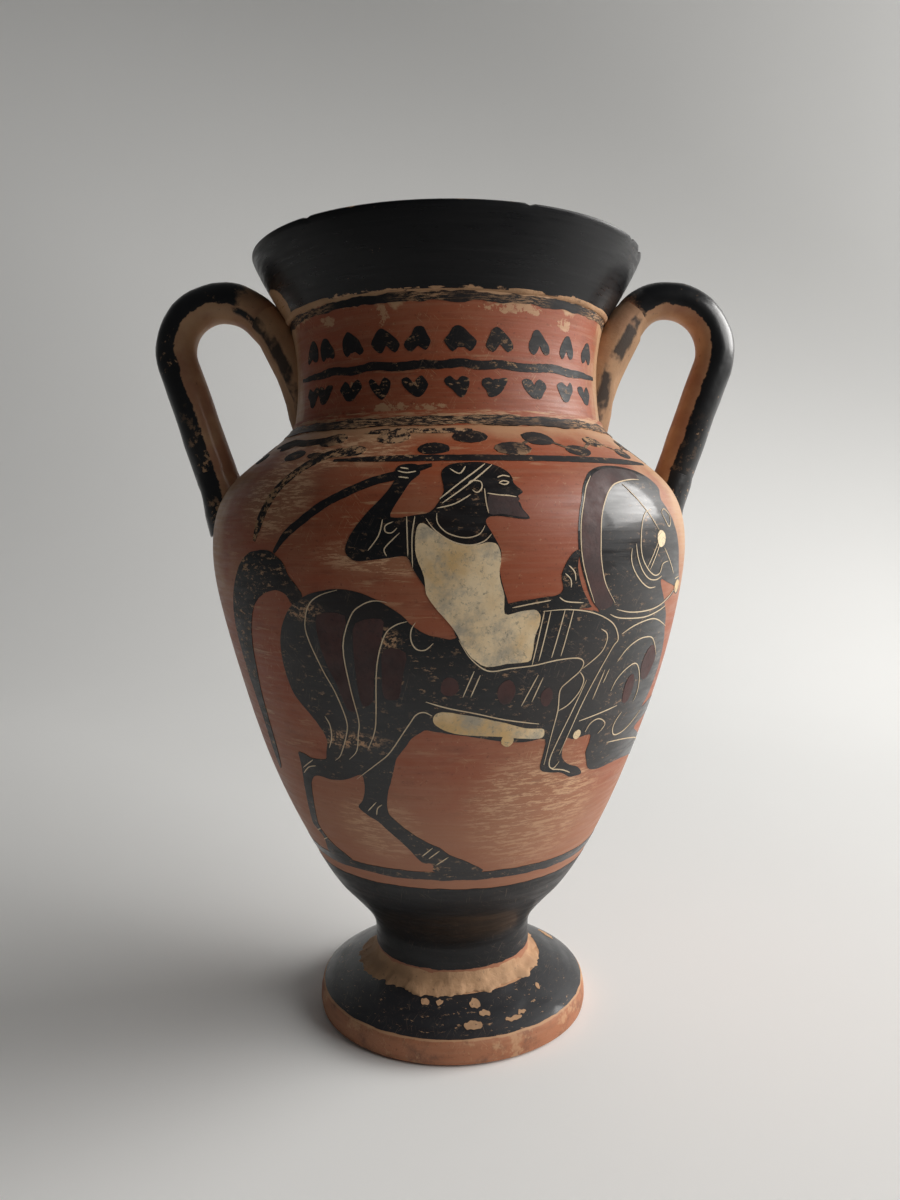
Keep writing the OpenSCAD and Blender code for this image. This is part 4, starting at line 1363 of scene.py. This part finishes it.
def paint_horseman(turn, name):
    """A bearded rider with a raised whip on a galloping horse."""
    slip, purple = finish_for("slip"), finish_for("purple")
    cream, line = finish_for("cream"), finish_for("line")
    painted(name + "_horse", [brushed(HORSE)], BODY, 0, slip, turn=turn)
    painted(name + "_tail", [brushed(TAIL, 2)], BODY, 0.01, finish_for("faded"), turn=turn)
    painted(name + "_rider", [brushed(RIDER, 4, shake=0.06)], BODY, 0.02, slip, turn=turn)
    arm = [brushed(FOREARM, 6), stroke(WHIP, 2.6, BODY),
           stroke([(56.4, 158.6), (60, 160), (63.8, 162.1)], 1.0, BODY)]
    painted(name + "_arm_and_whip", arm, BODY, 0.03, slip, turn=turn)
    patches = [brushed(MANE, 1), brushed(BEARD, 1, 0.04)]
    patches += [brushed(stripe, i) for i, stripe in enumerate(HAUNCH_STRIPES)]
    patches += [oval(*spot_at) for spot_at in PURPLE_SPOTS]
    painted(name + "_purple", patches, BODY, 0.13, purple, thick=0.05, turn=turn)
    whites = [brushed(TUNIC, 3), brushed(STRAP, 5)]
    whites += [oval(*spot_at) for spot_at in CREAM_SPOTS]
    painted(name + "_cream", whites, BODY, 0.14, cream, thick=0.07, turn=turn)
    width = bpy.context.scene.amphora_sizes.line_width / MM
    for part, lines in (("horse_lines", HORSE_LINES), ("rider_lines", RIDER_LINES)):
        strokes = [stroke(points, width, BODY, steps=4) for points in lines]
        painted(name + "_" + part, strokes, BODY, 0.17, line, thick=0.05, turn=turn)


# ---------------------------------------------------------------- the stage


def backdrop_finish():
    """Pale paper with painted shade: darker high up on the right and towards its front end,
    standing in for where the room is dim.
    """
    f = Finish("paper")
    x, y, z = f.axes()
    pale = colour_of_stage()
    # painted shade: the paper darkens to half its colour towards high up on the right
    shade_rise = f.sum("MULTIPLY_ADD", x, 0.5, f.sum("MULTIPLY", z, 0.7))
    colour = f.blend(f.span(shade_rise, 0.1, 0.75), pale, tuple(c * 0.5 for c in pale))
    # painted shade: the floor darkens towards its front end, standing in for the dim room in front
    # of the jar
    near = f.span(y, -0.16, -0.36, to=(0.0, 0.85))
    colour = f.blend(near, colour, tuple(c * 0.1 for c in pale))
    colour = f.blend(f.span(f.grain(3, 2), 0.3, 0.7, to=(0.0, 0.05)), colour, (0.6, 0.6, 0.58))
    return f.surface(colour, 0.9, f.grain(400, 3), 0.02, specular=0.0)


def colour_of_stage():
    """The floor's colour from the settings."""
    return tuple(bpy.context.scene.amphora_stage.floor_colour)


def build_backdrop():
    """A sheet of paper that runs along the floor and curves up behind the jar."""
    bm = bmesh.new()
    profile = [(-1.6, 0), (-0.8, 0), (0, 0), (0.5, 0)]
    profile += [(0.5 + 0.6 * math.sin(math.radians(a)), 0.6 - 0.6 * math.cos(math.radians(a)))
                for a in range(6, 91, 6)]
    profile += [(1.1, 1.2), (1.1, 2.6)]
    verts = [bm.verts.new((-2.4, y, z - 0.0004)) for y, z in profile]
    edges = [bm.edges.new(pair) for pair in zip(verts, verts[1:])]
    for i in range(24):
        new = bmesh.ops.extrude_edge_only(bm, edges=edges)["geom"]
        edges = [item for item in new if isinstance(item, bmesh.types.BMEdge)]
        moved = [item for item in new if isinstance(item, bmesh.types.BMVert)]
        bmesh.ops.translate(bm, verts=moved, vec=(0.2, 0, 0))
    bmesh.ops.recalc_face_normals(bm, faces=bm.faces)
    if sum(face.normal.z for face in bm.faces) < 0:
        bmesh.ops.reverse_faces(bm, faces=bm.faces)
    mesh = bpy.data.meshes.new("backdrop")
    bm.to_mesh(mesh)
    bm.free()
    mesh.shade_smooth()
    mesh.materials.append(backdrop_finish())
    sheet = bpy.data.objects.new("backdrop", mesh)
    bpy.context.scene.collection.objects.link(sheet)


def build_window(name, toward, far, across, up, power):
    """One large soft light that faces the jar from a direction."""
    toward = Vector(toward).normalized()
    lamp = bpy.data.lights.new(name, "AREA")
    lamp.shape = "RECTANGLE"
    lamp.size = across
    lamp.size_y = up
    lamp.energy = power
    lamp.color = (1.0, 0.985, 0.96)
    window = bpy.data.objects.new(name, lamp)
    turn = (-toward).to_track_quat("-Z", "Y").to_matrix().to_4x4()
    window.matrix_world = Matrix.Translation(Vector((0, 0, 0.14)) + toward * far) @ turn
    bpy.context.scene.collection.objects.link(window)


def build_lights():
    """Two windows on the right, the larger a little behind the jar, and a dim room."""
    stage = bpy.context.scene.amphora_stage
    build_window("window", (0.88, 0.13, 0.42), 2.1, 1.35, 1.1, stage.window_power * 0.72)
    build_window("second_window", (0.86, -0.46, 0.46), 2.1, 1.0, 1.0, stage.window_power * 0.28)
    world = bpy.data.worlds.new("room")
    bpy.context.scene.world = world
    world.use_nodes = True
    backing = world.node_tree.nodes["Background"]
    backing.inputs[0].default_value = (0.97, 0.985, 1.0, 1)
    backing.inputs[1].default_value = stage.sky_strength


def build_camera():
    """The camera, close to the jar and a little above its middle."""
    stage = bpy.context.scene.amphora_stage
    lens = bpy.data.cameras.new("camera")
    lens.lens = stage.lens
    lens.sensor_width = 36
    camera = bpy.data.objects.new("camera", lens)
    tilt = Matrix.Rotation(math.radians(90 - 5.11), 4, "X")
    roll = Matrix.Rotation(math.radians(-0.45), 4, "Z")
    camera.matrix_world = Matrix.Translation((0.0003, -0.343, 0.1862)) @ tilt @ roll
    bpy.context.scene.collection.objects.link(camera)
    bpy.context.scene.camera = camera
    bpy.context.scene.view_settings.view_transform = "Standard"


# ---------------------------------------------------------------- operators


class AMPHORA_OT_body(bpy.types.Operator):
    """Build the thrown body with its bands of slip"""
    bl_idname = "amphora.body"
    bl_label = "Build Body"

    def execute(self, context):
        build_body()
        return {"FINISHED"}


class AMPHORA_OT_foot(bpy.types.Operator):
    """Build the disc foot"""
    bl_idname = "amphora.foot"
    bl_label = "Build Foot"

    def execute(self, context):
        build_foot()
        return {"FINISHED"}


class AMPHORA_OT_neck(bpy.types.Operator):
    """Build the neck"""
    bl_idname = "amphora.neck"
    bl_label = "Build Neck"

    def execute(self, context):
        build_neck()
        return {"FINISHED"}


class AMPHORA_OT_lip(bpy.types.Operator):
    """Build the flaring lip"""
    bl_idname = "amphora.lip"
    bl_label = "Build Lip"

    def execute(self, context):
        build_lip()
        return {"FINISHED"}


class AMPHORA_OT_handles(bpy.types.Operator):
    """Build the two handles and the clay smeared round their roots"""
    bl_idname = "amphora.handles"
    bl_label = "Build Handles"

    def execute(self, context):
        for side in (-1, 1):
            build_handle(side)
            build_root_clay(side)
        return {"FINISHED"}


class AMPHORA_OT_lutings(bpy.types.Operator):
    """Build the rings of clay between the turned pieces"""
    bl_idname = "amphora.lutings"
    bl_label = "Build Luting Rings"

    def execute(self, context):
        build_lutings()
        return {"FINISHED"}


class AMPHORA_OT_patterns(bpy.types.Operator):
    """Paint the leaves round the neck and the chain round the shoulder"""
    bl_idname = "amphora.patterns"
    bl_label = "Paint Patterns"

    def execute(self, context):
        paint_neck()
        paint_shoulder()
        return {"FINISHED"}


class AMPHORA_OT_figures(bpy.types.Operator):
    """Paint the horseman on the front and again on the back"""
    bl_idname = "amphora.figures"
    bl_label = "Paint Horsemen"

    def execute(self, context):
        paint_horseman(-0.6, "front")
        paint_horseman(179.4, "back")
        return {"FINISHED"}


class AMPHORA_OT_stage(bpy.types.Operator):
    """Set up the backdrop, the light and the camera"""
    bl_idname = "amphora.stage"
    bl_label = "Set Up Stage"

    def execute(self, context):
        build_backdrop()
        build_lights()
        build_camera()
        return {"FINISHED"}


STEPS = (
    AMPHORA_OT_body, AMPHORA_OT_foot, AMPHORA_OT_neck, AMPHORA_OT_lip, AMPHORA_OT_lutings,
    AMPHORA_OT_handles, AMPHORA_OT_patterns, AMPHORA_OT_figures, AMPHORA_OT_stage,
)


class AMPHORA_PT_panel(bpy.types.Panel):
    """Lists the steps that build the jar"""
    bl_idname = "AMPHORA_PT_panel"
    bl_label = "Amphora"
    bl_space_type = "VIEW_3D"
    bl_region_type = "UI"
    bl_category = "Amphora"

    def draw(self, context):
        for step in STEPS:
            self.layout.operator(step.bl_idname)


SETTINGS = (("amphora_sizes", AmphoraSizes), ("amphora_colours", AmphoraColours),
            ("amphora_stage", AmphoraStage))


def register():
    """Registers the settings, the steps and the panel."""
    for name, group in SETTINGS:
        bpy.utils.register_class(group)
        setattr(bpy.types.Scene, name, bpy.props.PointerProperty(type=group))
    for step in STEPS + (AMPHORA_PT_panel,):
        bpy.utils.register_class(step)


def unregister():
    """Takes away what register added."""
    for step in (AMPHORA_PT_panel,) + STEPS[::-1]:
        bpy.utils.unregister_class(step)
    for name, group in SETTINGS[::-1]:
        delattr(bpy.types.Scene, name)
        bpy.utils.unregister_class(group)


def main():
    """Builds the whole jar."""
    register()
    for step in STEPS:
        family, name = step.bl_idname.split(".")
        getattr(getattr(bpy.ops, family), name)()
    bpy.context.view_layer.update()


if __name__ == "__main__":
    main()
